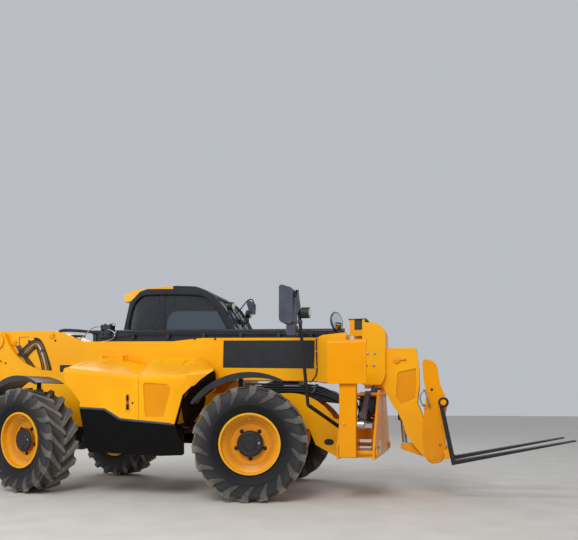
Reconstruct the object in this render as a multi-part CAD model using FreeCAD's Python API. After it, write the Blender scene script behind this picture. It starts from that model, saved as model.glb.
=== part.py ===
import FreeCAD, Part
import math
import os

# A telescopic handler, modelled in millimetres.
# X points forward, Y to the machine's left and Z up. The ground is Z = 0.
# While it is built, X = 0 is the front axle and the axles lie AXLE_Z above Z = 0. Finished
# pieces move by ORIGIN_SHIFT_X, which puts the origin under the middle of the machine's length,
# and rise until the tyres just touch the ground.

V = FreeCAD.Vector

ORIGIN_SHIFT_X = 420.0

# Running clearances.
PIN_GAP = 0.5            # between a pin and its bore, and a rod and its gland
SEAT_GAP = 0.3           # between a piece and the seat that it rests against
RUN_GAP = 5.0            # between pieces that pass each other
HINGE_GAP = 2.0          # between a hinge's knuckles, end to end

# Chassis and axles.
WHEELBASE = 2750.0
AXLE_Z = 620.0
KINGPIN_Y = 720.0
STEER_FRONT = 12.0       # degrees, turned left as the machine stands
STEER_REAR = -15.0
BOOM_Y = -50.0           # centre plane of the boom
RAIL_THICK = 40.0
RAIL_TOP_Z = 1190.0
RAIL_BOTTOM_Z = 760.0
RAIL_REAR_X = -3950.0
TOWER_REAR_X = -4110.0
TOWER_TOP_Z = 2045.0
SIDE_PLATE_Z = 1516.0    # top of the side plates, from the towers to behind the cab
SIDE_PLATE_X = -2100.0
TOWER_HOLES = [(-3755.0, 1627.0), (-3832.0, 1654.0)]
TOWER_HOLE_R = 17.0

AXLE_BEAM_R = 105.0
AXLE_HOUSING_R = 190.0
AXLE_HOUSING_LENGTH = 420.0
YOKE_R = 75.0
YOKE_HALF = 135.0
KINGPIN_R = 30.0
EAR_THICK = 48.0
EAR_R = 88.0

# Wheels, measured outward from the kingpin.
TYRE_R = 640.0
TYRE_WIDTH = 420.0
LUGS = 18                # on each half of the tread
LUG_HEIGHT = 34.0        # above the tread's floor, at its middle
LUG_ROOT = 8.8           # degrees of the wheel that a lug's foot takes at the shoulder
LUG_NOSE = 6.0           # and at the middle of the tread
LUG_LEAD = 18.5          # degrees by which its nose leads its foot
LUG_DRAFT = 1.0          # degrees that each flank leans in towards the top
WHEEL_OFFSET = 255.0     # kingpin to the tyre's centre plane
FLANGE_R = 340.0
FLANGE_HEIGHT = 22.0
RIM_WIDTH = 340.0
RIM_SEAT_R = FLANGE_R - FLANGE_HEIGHT
RIM_WALL = 14.0
DISC_DEPTH = 116.0       # flange to the face of the wheel disc
DISC_THICK = 15.0
DISH_R = 232.0
HUB_R = 146.0
HUB_DEPTH = 70.0         # flange to the end face of the hub
SPINDLE_R = 50.0
CARRIER_R = 150.0

# Wheel covers.
FENDER_R = 785.0
FENDER_THICK = 8.0
FENDER_IN = 62.0
FENDER_OUT = 455.0
FENDER_FROM = 62.0       # degrees above level, at the front end
FENDER_TO = 145.0
FENDER_LIP = 70.0        # depth of the turned-down outer edge at its middle
FENDER_LIP_END = 22.0    # and at its ends
POST_X = (-170.0, -120.0)
POST_Y = (-38.0, -6.0)   # between the kingpin and the tyre's inner side
STEER_GAP = 18.0         # left around everything that a steered wheel carries
STEER_INWARD = 325.0     # how far inward of the kingpin a steered tyre swings

# Boom, given level about its pivot and then lowered by BOOM_SLOPE.
PIVOT_X = -3900.0
PIVOT_Z = 1940.0
PIVOT_R = 60.0
PIVOT_BOSS_R = 125.0
BOOM_SLOPE = 1.5
BOOM_WIDTH = 360.0
BOOM_WALL = 12.0
BOOM_FRONT_X = 1000.0
BOOM_REAR_X = -4190.0
BOOM_BOTTOM_Z = 1455.0
BOOM_TOP_Z = 1980.0
SLIDE_GAP = 10.0         # around each inner section
PAD_GAP = 1.0            # between a wear pad and what slides on it
MIDDLE_WALL = 10.0
MIDDLE_REAR_X = -3300.0
MIDDLE_FRONT_X = 1160.0
INNER_REAR_X = -3000.0
INNER_WALL = 10.0
CAVITY_BOTTOM_Z = 1467.0
CAVITY_TOP_Z = 1922.0
HEAD_PLATE = 22.0
MIDDLE_HALF = BOOM_WIDTH / 2 - BOOM_WALL - SLIDE_GAP
MIDDLE_Z0 = CAVITY_BOTTOM_Z + SLIDE_GAP
MIDDLE_Z1 = CAVITY_TOP_Z - SLIDE_GAP
INNER_HALF = MIDDLE_HALF - MIDDLE_WALL - SLIDE_GAP
INNER_Z0 = MIDDLE_Z0 + MIDDLE_WALL + SLIDE_GAP
INNER_Z1 = MIDDLE_Z1 - MIDDLE_WALL - SLIDE_GAP
CARRIER_REAR_X = 990.0
RAIL_FRONT_X = CARRIER_REAR_X - SEAT_GAP
RAIL_IN_Y = BOOM_WIDTH / 2 + SLIDE_GAP * 2      # from the boom's centre plane
RAIL_OUT_Y = RAIL_IN_Y + RAIL_THICK
MOUTH_GAP = 25.0         # between one section's collar and the next

# Pin bosses on the boom's sides: x, z, radius.
BOOM_BOSSES = [(-3663.0, 1923.0, 46.0), (-3055.0, 2004.0, 47.0)]
BOSS_PROUD = 14.0

# Lift ram, in the boom's level frame for its upper pin.
LIFT_BASE_X = -3400.0
LIFT_BASE_Z = 930.0
LIFT_EYE_X = -1500.0
LIFT_EYE_Z = 1385.0
LIFT_BARREL_R = 85.0
LIFT_ROD_R = 50.0
LIFT_PIN_R = 38.0
LIFT_EYE_HALF = 56.0
LIFT_NECK = 150.0        # rod left showing between the barrel and its eye, at rest

# Carriage tilt.
CARRIAGE_X = 2030.0
CARRIAGE_Z = 470.0
CARRIAGE_PIN_R = 40.0
TILT_BASE_X = 1589.0
TILT_BASE_Z = 1585.0
TILT_EYE_X = 1680.0
TILT_EYE_Z = 560.0
TILT_RETRACT = 230.0     # how far the rod draws in from rest
TILT_NECK = 30.0
TILT_PIN_R = 30.0
TILT_BARREL_R = 50.0
TILT_ROD_R = 30.0
TILT_EYE_HALF = 40.0
HEAD_HALF = 175.0
NECK_HALF = 120.0
NECK_TIP_R = 85.0
SHAFT_X = 2125.0         # shaft that the forks hang on
SHAFT_Z = 1075.0
SHAFT_R = 32.0
CHEEK_HOLES = [(1993.0, 1223.0), (2090.0, 583.0)]
CHEEK_HOLE_R = 16.0
FORK_SPAN_Y = 330.0      # fork centres from the boom's centre plane
FORK_WIDTH = 130.0
FORK_THICK = 45.0
FORK_LENGTH = 1300.0
FORK_SHANK = 695.0
FORK_HEEL_X = 2250.0
FORK_HEEL_Z = 430.0
FORK_TILT = 11.6

# Front stabilisers.
CARRIER_FRONT_X = 1410.0
CARRIER_PLATE = 25.0
LEG_PIVOT_Y = 750.0
LEG_PIVOT_Z = 520.0
FOOT_PIN_Z = 1420.0
LEG_Y = 850.0
LEG_DEPTH = 120.0
LEG_WIDTH = 180.0
LEG_X_RIGHT = 1125.0
LEG_X_LEFT = 1275.0
LEG_PIN_R = 28.0
PAD_SIZE_X = 420.0
PAD_LOW_Z = 1275.0
RAM_BASE_Y = 260.0
RAM_BASE_Z = 1170.0
RAM_PIN_R = 22.0
RAM_EYE_Z = 833.0
RAM_EYE_HALF = 34.0
RAM_BARREL_R = 38.0
RAM_ROD_R = 24.0
RAM_NECK = 30.0
RAM_X_RIGHT = 1265.0
RAM_X_LEFT = 1134.0
PAD_HIGH_Z = 1750.0
PAD_ROLL = 40.0          # radius of the foot's turned upper edge

# Arms that carry the cab, the engine and the body sides.
BODY_REAR_X = -WHEELBASE + 710.0         # lower rear corner of the body, clear of the wheels
OUTRIGGER_X = (BODY_REAR_X + 160.0, -1010.0)
OUTRIGGER_WIDTH = 80.0
OUTRIGGER_Z = 760.0

# Engine cover and body sides.
SIDE_Y = 1100.0
SKIRT_WALL = 16.0
SKIRT_DEPTH = 210.0
POD_INNER_Y = 300.0
POD_WALL = 20.0
POD_ROUND = 60.0         # radius of the shoulder between the side and the sloping top
POD_LIP = 22.0           # how far the wheel arch's edge stands out
POD_LIP_WIDTH = 105.0
LINER = 8.0              # black lining of the wheel arch
RECESS_DEPTH = 12.0
BONNET_SEAM_X = -1266.0  # the bonnet's front seam on the side
SEAM_SLANT = 275.0       # how much further back the seam ends at the inner edge
POD_REAR_X = BODY_REAR_X - 220.0
BONNET_LENGTH = BONNET_SEAM_X - POD_REAR_X
BONNET_HINGE_Y = -360.0
BONNET_HINGE_Z = 1684.0
BONNET_HINGE_X = (POD_REAR_X + 60.0, POD_REAR_X + 0.36 * BONNET_LENGTH)
BONNET_HINGE_DROP = 75.0 # from the pin down to the foot of each hinge
BONNET_PIN_R = 6.0
BONNET_KNUCKLE_R = 11.0
BONNET_KNUCKLE = 50.0
BONNET_TOP_Y = 400.0     # where the sloping top turns level
# The front wheel arch in the body's sides, as far as a steered wheel needs it.
ARCH_X = -math.hypot(TYRE_R, WHEEL_OFFSET + TYRE_WIDTH / 2) - STEER_GAP
ARCH_Z = AXLE_Z + FENDER_R + STEER_GAP
# Sections of the engine cover: x at its side, x at its inner edge, shoulder height, top height,
# distance out.
POD_STATIONS = [
    (POD_REAR_X - 160, POD_REAR_X - 160, 1452.0, 1672.0, SIDE_Y),
    (POD_REAR_X + 0.285 * BONNET_LENGTH, POD_REAR_X + 0.285 * BONNET_LENGTH, 1408.0, 1659.0, SIDE_Y),
    (POD_REAR_X + 0.44 * BONNET_LENGTH, POD_REAR_X + 0.44 * BONNET_LENGTH, 1392.0, 1611.0, SIDE_Y),
    (BONNET_SEAM_X - 10, BONNET_SEAM_X - SEAM_SLANT - 10, 1336.0, 1557.0, SIDE_Y),
    (BONNET_SEAM_X + 36, BONNET_SEAM_X - 127, 1334.0, 1655.0, SIDE_Y),
    (ARCH_X - 17, ARCH_X - 17, 1335.0, 1642.0, SIDE_Y - 5),
    (ARCH_X + 133, ARCH_X + 133, 1348.0, 1530.0, SIDE_Y - 25),
    (ARCH_X + 209, ARCH_X + 209, 1356.0, 1478.0, SIDE_Y - 40),
    (ARCH_X + 430, ARCH_X + 430, 1376.0, 1450.0, SIDE_Y - 100)]
# The body's side as far as the cover reaches, and the shallow field behind its wheel arch.
POD_SIDE = [
    (POD_REAR_X, 1720), (POD_REAR_X, 1461), (BODY_REAR_X - 158, 1228, BODY_REAR_X, 1022),
    (BODY_REAR_X + 323, 1005), (BODY_REAR_X + 537, 889), (ARCH_X - 2, 832),
    (ARCH_X + 93, ARCH_Z - 264), (ARCH_X + 199, ARCH_Z - 166), (ARCH_X + 432, ARCH_Z - 120),
    (ARCH_X + 509, ARCH_Z - 113), (ARCH_X + 509, 1720)]
POD_RECESS = [
    (-1183, 910), (-1207, 1262), (-1195, 1290, -1165, 1300), (-935, 1285),
    (-885, 1262, -870, 1216), (-955, 911)]
# Slots in the bonnet's slope.
LOUVRE_Y = (-905.0, -845.0, -785.0, -725.0, -665.0, -605.0)
LOUVRE_WIDE = 24.0
LOUVRE_X = (POD_REAR_X + 45.0, POD_REAR_X + 0.55 * BONNET_LENGTH)
# Air duct behind the engine cover.
DUCT_X = (POD_REAR_X - 111.0, POD_REAR_X - 6.0)
DUCT_Y = -1010.0
DUCT_Z = (1448.0, 1530.0)

# Cab.
CAB_INNER_Y = 205.0
CAB_OUTER_Y = 1150.0
CAB_WALL = 50.0
CAB_SILL_Z = 1500.0
CAB_BOTTOM_Z = 860.0
GLASS_THICK = 6.0
DOOR_THICK = 40.0
DOOR_HINGE_X = -2125.0
DOOR_HINGE_Y = 1172.0
DOOR_HINGE_Z = (1620.0, 2000.0)
DOOR_PIN_R = 7.0
DOOR_KNUCKLE_R = 14.0
DOOR_KNUCKLE = 60.0
CAB_OUTLINE = [
    (-1950, 860), (-2030, 1300), (-2200, 1440), (-2215, 2100), (-2120, 2480), (-1960, 2625),
    (-1850, 2655), (-1020, 2615), (-860, 2520), (-746, 2372), (-590, 2086), (-420, 1750),
    (-400, 1500), (-480, 1440), (-640, 1300), (-800, 1120), (-820, 860)]
CAB_INSIDE = [
    (-1900, 960), (-1980, 1330), (-2150, 1460), (-2165, 2100), (-2075, 2460), (-1940, 2575),
    (-1850, 2600), (-1040, 2562), (-900, 2480), (-800, 2340), (-650, 2070), (-480, 1740),
    (-460, 1530), (-520, 1485), (-690, 1330), (-850, 1140), (-870, 960)]
SIDE_WINDOW = [
    (-2150, 1560), (-2155, 2110), (-2068, 2450), (-1950, 2560), (-1850, 2580), (-1050, 2545),
    (-915, 2465), (-815, 2330), (-665, 2060), (-500, 1740), (-490, 1560)]
# Lines of the cab's outside that carry a window: front, roof and rear.
WINDOW_LINES = [
    [(-850, 2506), (-746, 2372), (-590, 2086), (-420, 1750), (-403, 1570)],
    [(-1750, 2650), (-1090, 2618)],
    [(-2204, 1590), (-2214, 2090)]]
WINDOW_SIDE = 75.0       # pillar left at each side of those windows
GLASS_SET = 14.0         # how far the panes lie inside the outside line
DOOR_OUTLINE = [
    (-1900, 1010), (-2000, 1420), (-2120, 1500), (-2120, 2100), (-2040, 2430), (-1940, 2530),
    (-1850, 2550), (-1050, 2520), (-930, 2450), (-830, 2310), (-690, 2050), (-640, 1900),
    (-700, 1500), (-860, 1300), (-860, 1010)]


def box(x0, x1, y0, y1, z0, z1):
    return Part.makeBox(x1 - x0, y1 - y0, z1 - z0, V(x0, y0, z0))


def bar(start, end, radius):
    axis = end.sub(start)
    return Part.makeCylinder(radius, axis.Length, start, axis)


def flat_face(outline, place):
    """A face inside an outline. A step of two numbers is a line to that point, and a step of
    four is an arc through the first two to the last two."""
    edges = []
    here = place(*outline[-1][-2:])
    for step in outline:
        there = place(*step[-2:])
        if len(step) == 4:
            edges.append(Part.Arc(here, place(*step[:2]), there).toShape())
        else:
            edges.append(Part.makeLine(here, there))
        here = there
    return Part.Face(Part.Wire(edges))


def side_prism(outline, y0, y1):
    """An outline of (x, z) steps, extruded across the machine."""
    return flat_face(outline, lambda x, z: V(x, y0, z)).extrude(V(0, y1 - y0, 0))


def front_prism(outline, x0, x1):
    """An outline of (y, z) steps, extruded along the machine."""
    return flat_face(outline, lambda y, z: V(x0, y, z)).extrude(V(x1 - x0, 0, 0))


def plan_prism(outline, z0, z1):
    """An outline of (x, y) steps, extruded upwards."""
    return flat_face(outline, lambda x, y: V(x, y, z0)).extrude(V(0, 0, z1 - z0))


def turned(profile):
    """A ring on the Y axis from (outward distance, radius) points, outward being -Y."""
    points = [V(0, -out, radius) for out, radius in profile]
    wire = Part.makePolygon(points + [points[0]])
    return Part.Face(wire).revolve(V(0, 0, 0), V(0, 1, 0), 360)


def joined(first, *others):
    result = first.fuse(list(others)) if others else first
    return result.removeSplitter()


def moved(shape, x=0.0, y=0.0, z=0.0):
    copy = shape.copy()
    copy.translate(V(x, y, z))
    return copy


def rotated(shape, centre, axis, degrees):
    copy = shape.copy()
    copy.rotate(centre, axis, degrees)
    return copy


def mirrored(shape):
    return shape.mirror(V(0, 0, 0), V(0, 1, 0))


def across(x, z, y0, y1, radius):
    """A round bar across the machine."""
    return bar(V(x, y0, z), V(x, y1, z), radius)


pieces = {}


def keep(name, shape):
    pieces[name] = shape


# Wheels

def wheel_rim():
    """One right-hand wheel about its axle, outward measured from the kingpin."""
    flange = WHEEL_OFFSET + RIM_WIDTH / 2

    def at(depth, radius):
        return (flange - depth, radius)

    lip = 18.0
    seat_in = RIM_SEAT_R - RIM_WALL
    barrel = turned([
        at(0, FLANGE_R), at(lip, FLANGE_R), at(lip + 6, RIM_SEAT_R),
        at(RIM_WIDTH - lip - 6, RIM_SEAT_R), at(RIM_WIDTH - lip, FLANGE_R),
        at(RIM_WIDTH, FLANGE_R), at(RIM_WIDTH, seat_in), at(0, seat_in + 14)])
    disc = turned([
        at(DISC_DEPTH - 54, RIM_SEAT_R - 1), at(DISC_DEPTH - 14, DISH_R + 8),
        at(DISC_DEPTH - 14, DISH_R - 4), at(DISC_DEPTH, DISH_R - 12),
        at(DISC_DEPTH, 0), at(DISC_DEPTH + DISC_THICK, 0),
        at(DISC_DEPTH + DISC_THICK, DISH_R + 4),
        at(DISC_DEPTH - 54 + DISC_THICK, RIM_SEAT_R - 1)])
    hub = bar(V(0, -(flange - DISC_DEPTH - DISC_THICK), 0), V(0, -(flange - HUB_DEPTH), 0), HUB_R)
    bore = bar(V(0, -(flange - DISC_DEPTH - DISC_THICK), 0), V(0, -(flange - DISC_DEPTH + 20), 0),
               SPINDLE_R + PIN_GAP)
    return joined(barrel, disc, hub).cut(bore)


def on_wheel(out, radius, degrees):
    """A point by its distance out from the tyre's centre plane, its radius and its turn from the top."""
    turn = math.radians(degrees)
    return V(radius * math.sin(turn), -(WHEEL_OFFSET + out), radius * math.cos(turn))


def solid_of(polygons):
    """A closed solid from polygons, each split into triangles from its first point."""
    faces = []
    for points in polygons:
        for second, third in zip(points[1:], points[2:]):
            faces.append(Part.Face(Part.makePolygon([points[0], second, third, points[0]])))
    return Part.Solid(Part.Shell(faces))


def tyre():
    """A lugged tyre in flat facets: two staggered rows of bars that lead from shoulder to middle."""
    half = TYRE_WIDTH / 2
    bead = RIM_WIDTH / 2 - 24
    pitch = 360.0 / LUGS
    floor = TYRE_R - LUG_HEIGHT
    seat = (RIM_SEAT_R + SEAT_GAP) / math.cos(math.radians(pitch / 4))
    # out from the centre plane, radius, whether its points follow the feet of the lugs
    rings = [(bead, seat, False), (bead + 6, FLANGE_R + 8, False), (half - 4, TYRE_R - 208, False),
             (half, TYRE_R - 130, True), (half - 8, TYRE_R - 68, True), (half - 46, TYRE_R - 38, True)]
    polygons = []
    seats = []
    for side in (1, -1):
        first = 0.0 if side > 0 else pitch / 2
        loops = []
        for out, radius, follows in rings:
            foot = LUG_ROOT if follows else pitch / 2
            loop = []
            for k in range(LUGS):
                start = first + k * pitch
                loop += [on_wheel(side * out, radius, start), on_wheel(side * out, radius, start + foot)]
            loops.append(loop)
        seats.append(loops[0])
        for low, high in zip(loops[:4], loops[1:5]):
            for i in range(2 * LUGS):
                j = (i + 1) % (2 * LUGS)
                polygons.append([low[i], low[j], high[j], high[i]])
        for k in range(LUGS):
            polygons += lug(side, first + k * pitch, pitch, floor, loops[4], loops[5], 2 * k)
    outer, inner = seats
    for i in range(2 * LUGS):
        polygons.append([outer[i], outer[(i + 1) % (2 * LUGS)], inner[i], inner[i - 1]])
    return solid_of(polygons)


def lug(side, start, pitch, floor, brow, crown, a):
    """One lug with the floor up to the next: brow and crown are the two rings that it stands on."""
    b = a + 1
    c = (a + 2) % len(brow)
    lead = start + LUG_LEAD
    turns = (0.0, LUG_NOSE, pitch / 2, pitch / 2 + LUG_NOSE, pitch)
    middle = [on_wheel(0, floor, lead + turn) for turn in turns]
    nose = [on_wheel(0, TYRE_R, lead + LUG_DRAFT), on_wheel(0, TYRE_R, lead + LUG_NOSE - LUG_DRAFT)]
    top_out = side * (TYRE_WIDTH / 2 - 12)
    root = [on_wheel(top_out, TYRE_R - 8, start + LUG_DRAFT),
            on_wheel(top_out, TYRE_R - 8, start + LUG_ROOT - LUG_DRAFT)]
    return [[root[0], root[1], nose[1], nose[0]], [brow[a], brow[b], root[1], root[0]],
            [middle[0], middle[1], nose[1], nose[0]], [root[0], nose[0], middle[0], crown[a], brow[a]],
            [root[1], nose[1], middle[1], crown[b], brow[b]], [brow[b], brow[c], crown[c], crown[b]],
            [crown[b], middle[1], middle[2], middle[3]], [crown[b], middle[3], middle[4], crown[c]]]


def knuckle():
    """The steered hub carrier of a right-hand wheel, with its wheel cover."""
    flange = WHEEL_OFFSET + RIM_WIDTH / 2
    face = flange - DISC_DEPTH - DISC_THICK - PIN_GAP
    carrier = bar(V(0, -105, 0), V(0, -face, 0), CARRIER_R)
    spindle = bar(V(0, -face, 0), V(0, -(flange - DISC_DEPTH + 15), 0), SPINDLE_R)
    ears = []
    for low in (YOKE_HALF + RUN_GAP, -YOKE_HALF - RUN_GAP - EAR_THICK):
        ears.append(bar(V(0, 0, low), V(0, 0, low + EAR_THICK), EAR_R))
        ears.append(box(-EAR_R, EAR_R, -150, 0, low, low + EAR_THICK))
    top = YOKE_HALF + RUN_GAP + EAR_THICK
    web = box(-EAR_R, EAR_R, -150, -105, -top, top)
    # the arm's top lies inside the cover's sheet at its rear corner
    arm_top = math.sqrt((FENDER_R - FENDER_THICK / 2) ** 2 - POST_X[0] ** 2)
    post = box(*POST_X, *POST_Y, YOKE_HALF + RUN_GAP, arm_top)
    foot = box(POST_X[0], -EAR_R + 28, *POST_Y, YOKE_HALF + RUN_GAP, top)
    arm = box(*POST_X, -FENDER_OUT + 120, POST_Y[1], arm_top - 16, arm_top)
    cover = fender()
    body = joined(carrier, spindle, web, post, foot, arm, cover, *ears)
    pin_bore = bar(V(0, 0, -top - 1), V(0, 0, top + 1), KINGPIN_R + PIN_GAP)
    return body.cut(pin_bore)


def fender():
    """A curved wheel cover about the wheel's centre, with its outer edge turned down."""
    outer = Part.makeCylinder(FENDER_R, FENDER_OUT - FENDER_IN, V(0, -FENDER_OUT, 0), V(0, 1, 0))
    inner = Part.makeCylinder(FENDER_R - FENDER_THICK, FENDER_OUT - FENDER_IN,
                              V(0, -FENDER_OUT, 0), V(0, 1, 0))
    reach = FENDER_R * 1.5
    a = math.radians(FENDER_FROM)
    b = math.radians(FENDER_TO)
    m = (a + b) / 2
    wedge = side_prism([
        (0, 0), (reach * math.cos(a), reach * math.sin(a)),
        (reach * math.cos(m), reach * math.sin(m)),
        (reach * math.cos(b), reach * math.sin(b))], -FENDER_OUT - 1, -FENDER_IN + 1)
    # a circle struck from below leaves the edge deep at its middle and shallow at its ends
    drop = (FENDER_LIP - FENDER_LIP_END) / (1 - math.cos((b - a) / 2))
    disc = Part.makeCylinder(FENDER_R, FENDER_THICK, V(0, -FENDER_OUT, 0), V(0, 1, 0))
    bite = Part.makeCylinder(FENDER_R + drop - FENDER_LIP, FENDER_THICK + 2,
                             V(-drop * math.cos(m), -FENDER_OUT - 1, -drop * math.sin(m)), V(0, 1, 0))
    return joined(outer.cut(inner), disc.cut(bite)).common(wedge)


def place_wheels():
    rim = wheel_rim()
    rubber = tyre()
    carrier = knuckle()
    # name, axle x, steer angle
    corners = [("front", 0.0, STEER_FRONT), ("rear", -WHEELBASE, STEER_REAR)]
    for end, axle_x, steer in corners:
        for side in ("right", "left"):
            for kind, shape in (("rim", rim), ("tyre", rubber), ("knuckle", carrier)):
                placed = shape if side == "right" else mirrored(shape)
                placed = rotated(placed, V(0, 0, 0), V(0, 0, 1), steer)
                y = -KINGPIN_Y if side == "right" else KINGPIN_Y
                keep(kind + "_" + end + "_" + side, moved(placed, axle_x, y, AXLE_Z))


def axle(axle_x):
    beam = bar(V(axle_x, -KINGPIN_Y, AXLE_Z), V(axle_x, KINGPIN_Y, AXLE_Z), AXLE_BEAM_R)
    half = AXLE_HOUSING_LENGTH / 2
    housing = bar(V(axle_x, -half, AXLE_Z), V(axle_x, half, AXLE_Z), AXLE_HOUSING_R * 0.8)
    bowl = Part.makeSphere(AXLE_HOUSING_R, V(axle_x, 0, AXLE_Z))
    seat = box(axle_x - 90, axle_x + 90, BOOM_Y - 200, BOOM_Y + 200,
               AXLE_Z, RAIL_BOTTOM_Z - SEAT_GAP)
    parts = [housing, bowl, seat]
    top = YOKE_HALF + RUN_GAP + EAR_THICK
    for y in (-KINGPIN_Y, KINGPIN_Y):
        parts.append(bar(V(axle_x, y, AXLE_Z - YOKE_HALF), V(axle_x, y, AXLE_Z + YOKE_HALF), YOKE_R))
        parts.append(bar(V(axle_x, y, AXLE_Z - top), V(axle_x, y, AXLE_Z + top), KINGPIN_R))
    above = box(axle_x - 250, axle_x + 250, -350, 350, RAIL_BOTTOM_Z - SEAT_GAP, RAIL_BOTTOM_Z + 200)
    return joined(beam, *parts).cut(above)


# Chassis

def steer_room(axle_x, side, grow=0.0):
    """The space that a steered wheel and its cover pass through, as one turned solid."""
    gap = STEER_GAP + grow
    reach = math.hypot(TYRE_R, WHEEL_OFFSET + TYRE_WIDTH / 2) + gap
    high = AXLE_Z + FENDER_R + gap
    outline = [(0, 0), (reach, 0)]
    for degrees in (180 - FENDER_TO, 48, 62, 76, 90):
        turn = math.radians(degrees)
        along = (FENDER_R + gap) * math.cos(turn)
        outline.append((math.hypot(along, FENDER_OUT + gap), AXLE_Z + (FENDER_R + gap) * math.sin(turn)))
    outline.append((0, high))
    wire = Part.makePolygon([V(r, 0, z) for r, z in outline] + [V(0, 0, 0)])
    room = Part.Face(wire).revolve(V(0, 0, 0), V(0, 0, 1), 360)
    room = moved(room, axle_x, side * KINGPIN_Y)
    inner = KINGPIN_Y - STEER_INWARD
    keep_out = box(axle_x - reach - 10, axle_x + reach + 10, inner, KINGPIN_Y + reach, -10, high + 10)
    if side < 0:
        keep_out = mirrored(keep_out)
    return room.common(keep_out)


def boom_y(side, distance):
    return BOOM_Y + side * distance


def chassis_frame():
    outline = [
        (RAIL_REAR_X, RAIL_BOTTOM_Z), (TOWER_REAR_X, 950), (TOWER_REAR_X, TOWER_TOP_Z - 130),
        (TOWER_REAR_X + 38, TOWER_TOP_Z - 38, TOWER_REAR_X + 130, TOWER_TOP_Z),
        (-3774, TOWER_TOP_Z), (-3495, 1660, -2996, SIDE_PLATE_Z), (SIDE_PLATE_X, SIDE_PLATE_Z),
        (SIDE_PLATE_X + 70, SIDE_PLATE_Z - 70), (SIDE_PLATE_X + 200, RAIL_TOP_Z),
        (285, RAIL_TOP_Z), (600, 1125, 864, 883), (RAIL_FRONT_X, 860), (RAIL_FRONT_X, 470),
        (880, 440), (640, 570), (560, RAIL_BOTTOM_Z)]
    parts = []
    for side in (-1, 1):
        y_in = boom_y(side, RAIL_IN_Y)
        y_out = boom_y(side, RAIL_OUT_Y)
        plate = side_prism(outline, min(y_in, y_out), max(y_in, y_out))
        for x, z in TOWER_HOLES:
            plate = plate.cut(across(x, z, boom_y(side, RAIL_IN_Y - 1), boom_y(side, RAIL_OUT_Y + 1),
                                     TOWER_HOLE_R))
        parts.append(plate)
    left = BOOM_Y - RAIL_OUT_Y
    right = BOOM_Y + RAIL_OUT_Y
    # cross members: x from, x to, z from, z to
    for x0, x1, z0, z1 in [(TOWER_REAR_X, TOWER_REAR_X + 50, 960, 1340), (-3650, -3560, 780, 900),
                           (-2360, -2260, 770, 860), (-1300, -1200, 770, 860),
                           (-500, -400, 770, 900), (380, 480, 780, 1000)]:
        parts.append(box(x0, x1, left + 5, right - 5, z0, z1))
    parts.append(across(PIVOT_X, PIVOT_Z, left - 15, right + 15, PIVOT_R))
    for side in (-1, 1):
        parts.append(across(PIVOT_X, PIVOT_Z, boom_y(side, RAIL_IN_Y), boom_y(side, RAIL_OUT_Y + 25),
                            PIVOT_BOSS_R))
    # seats for the axles
    for axle_x in (0.0, -WHEELBASE):
        parts.append(box(axle_x - 120, axle_x + 120, left + 5, right - 5,
                         RAIL_BOTTOM_Z, RAIL_BOTTOM_Z + 60))
    parts.append(across(LIFT_BASE_X, LIFT_BASE_Z, left + 5, right - 5, LIFT_PIN_R))
    return joined(*parts)


def outriggers():
    """The arms out from the rails, with the cab's mounts on the left ones."""
    end = SIDE_Y - SKIRT_WALL - SEAT_GAP
    arms = []
    for x0 in OUTRIGGER_X:
        x1 = x0 + OUTRIGGER_WIDTH
        arms.append(box(x0, x1, -end, BOOM_Y - RAIL_OUT_Y - SEAT_GAP, OUTRIGGER_Z - 60, OUTRIGGER_Z))
        left_arm = box(x0, x1, BOOM_Y + RAIL_OUT_Y + SEAT_GAP, end, OUTRIGGER_Z - 60, OUTRIGGER_Z)
        mounts = [box(x0, x1, y0, y0 + 80, OUTRIGGER_Z - 10, CAB_BOTTOM_Z - SEAT_GAP)
                  for y0 in (CAB_INNER_Y + 60, CAB_INNER_Y + 560)]
        arms.append(joined(left_arm, *mounts))
    return Part.makeCompound(arms)


def front_carrier():
    """The plates in front that carry the stabilisers."""
    high = 1220.0
    outline = [
        (-LEG_PIVOT_Y - 75, 450), (-LEG_PIVOT_Y - 75, 600), (-420, high - 60), (-330, high),
        (330, high), (420, high - 60), (LEG_PIVOT_Y + 75, 600), (LEG_PIVOT_Y + 75, 450)]
    parts = []
    for x0 in (CARRIER_REAR_X, CARRIER_FRONT_X - CARRIER_PLATE):
        parts.append(front_prism(outline, x0, x0 + CARRIER_PLATE))
    x0 = CARRIER_REAR_X + 5
    x1 = CARRIER_FRONT_X - 5
    parts.append(box(x0, x1, -330, 330, 470, 500))
    parts.append(box(x0, x1, -600, 600, 455, 480))
    parts.append(box(x0, x1, -200, 200, 640, 760))
    # leg pivot pins and ram pins run between the plates
    for side in (-1, 1):
        parts.append(bar(V(x0, side * LEG_PIVOT_Y, LEG_PIVOT_Z),
                         V(CARRIER_FRONT_X + 15, side * LEG_PIVOT_Y, LEG_PIVOT_Z), LEG_PIN_R))
        parts.append(bar(V(x0, side * RAM_BASE_Y, RAM_BASE_Z),
                         V(CARRIER_FRONT_X + 15, side * RAM_BASE_Y, RAM_BASE_Z), RAM_PIN_R))
    return joined(*parts)


# Front stabilisers

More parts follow.
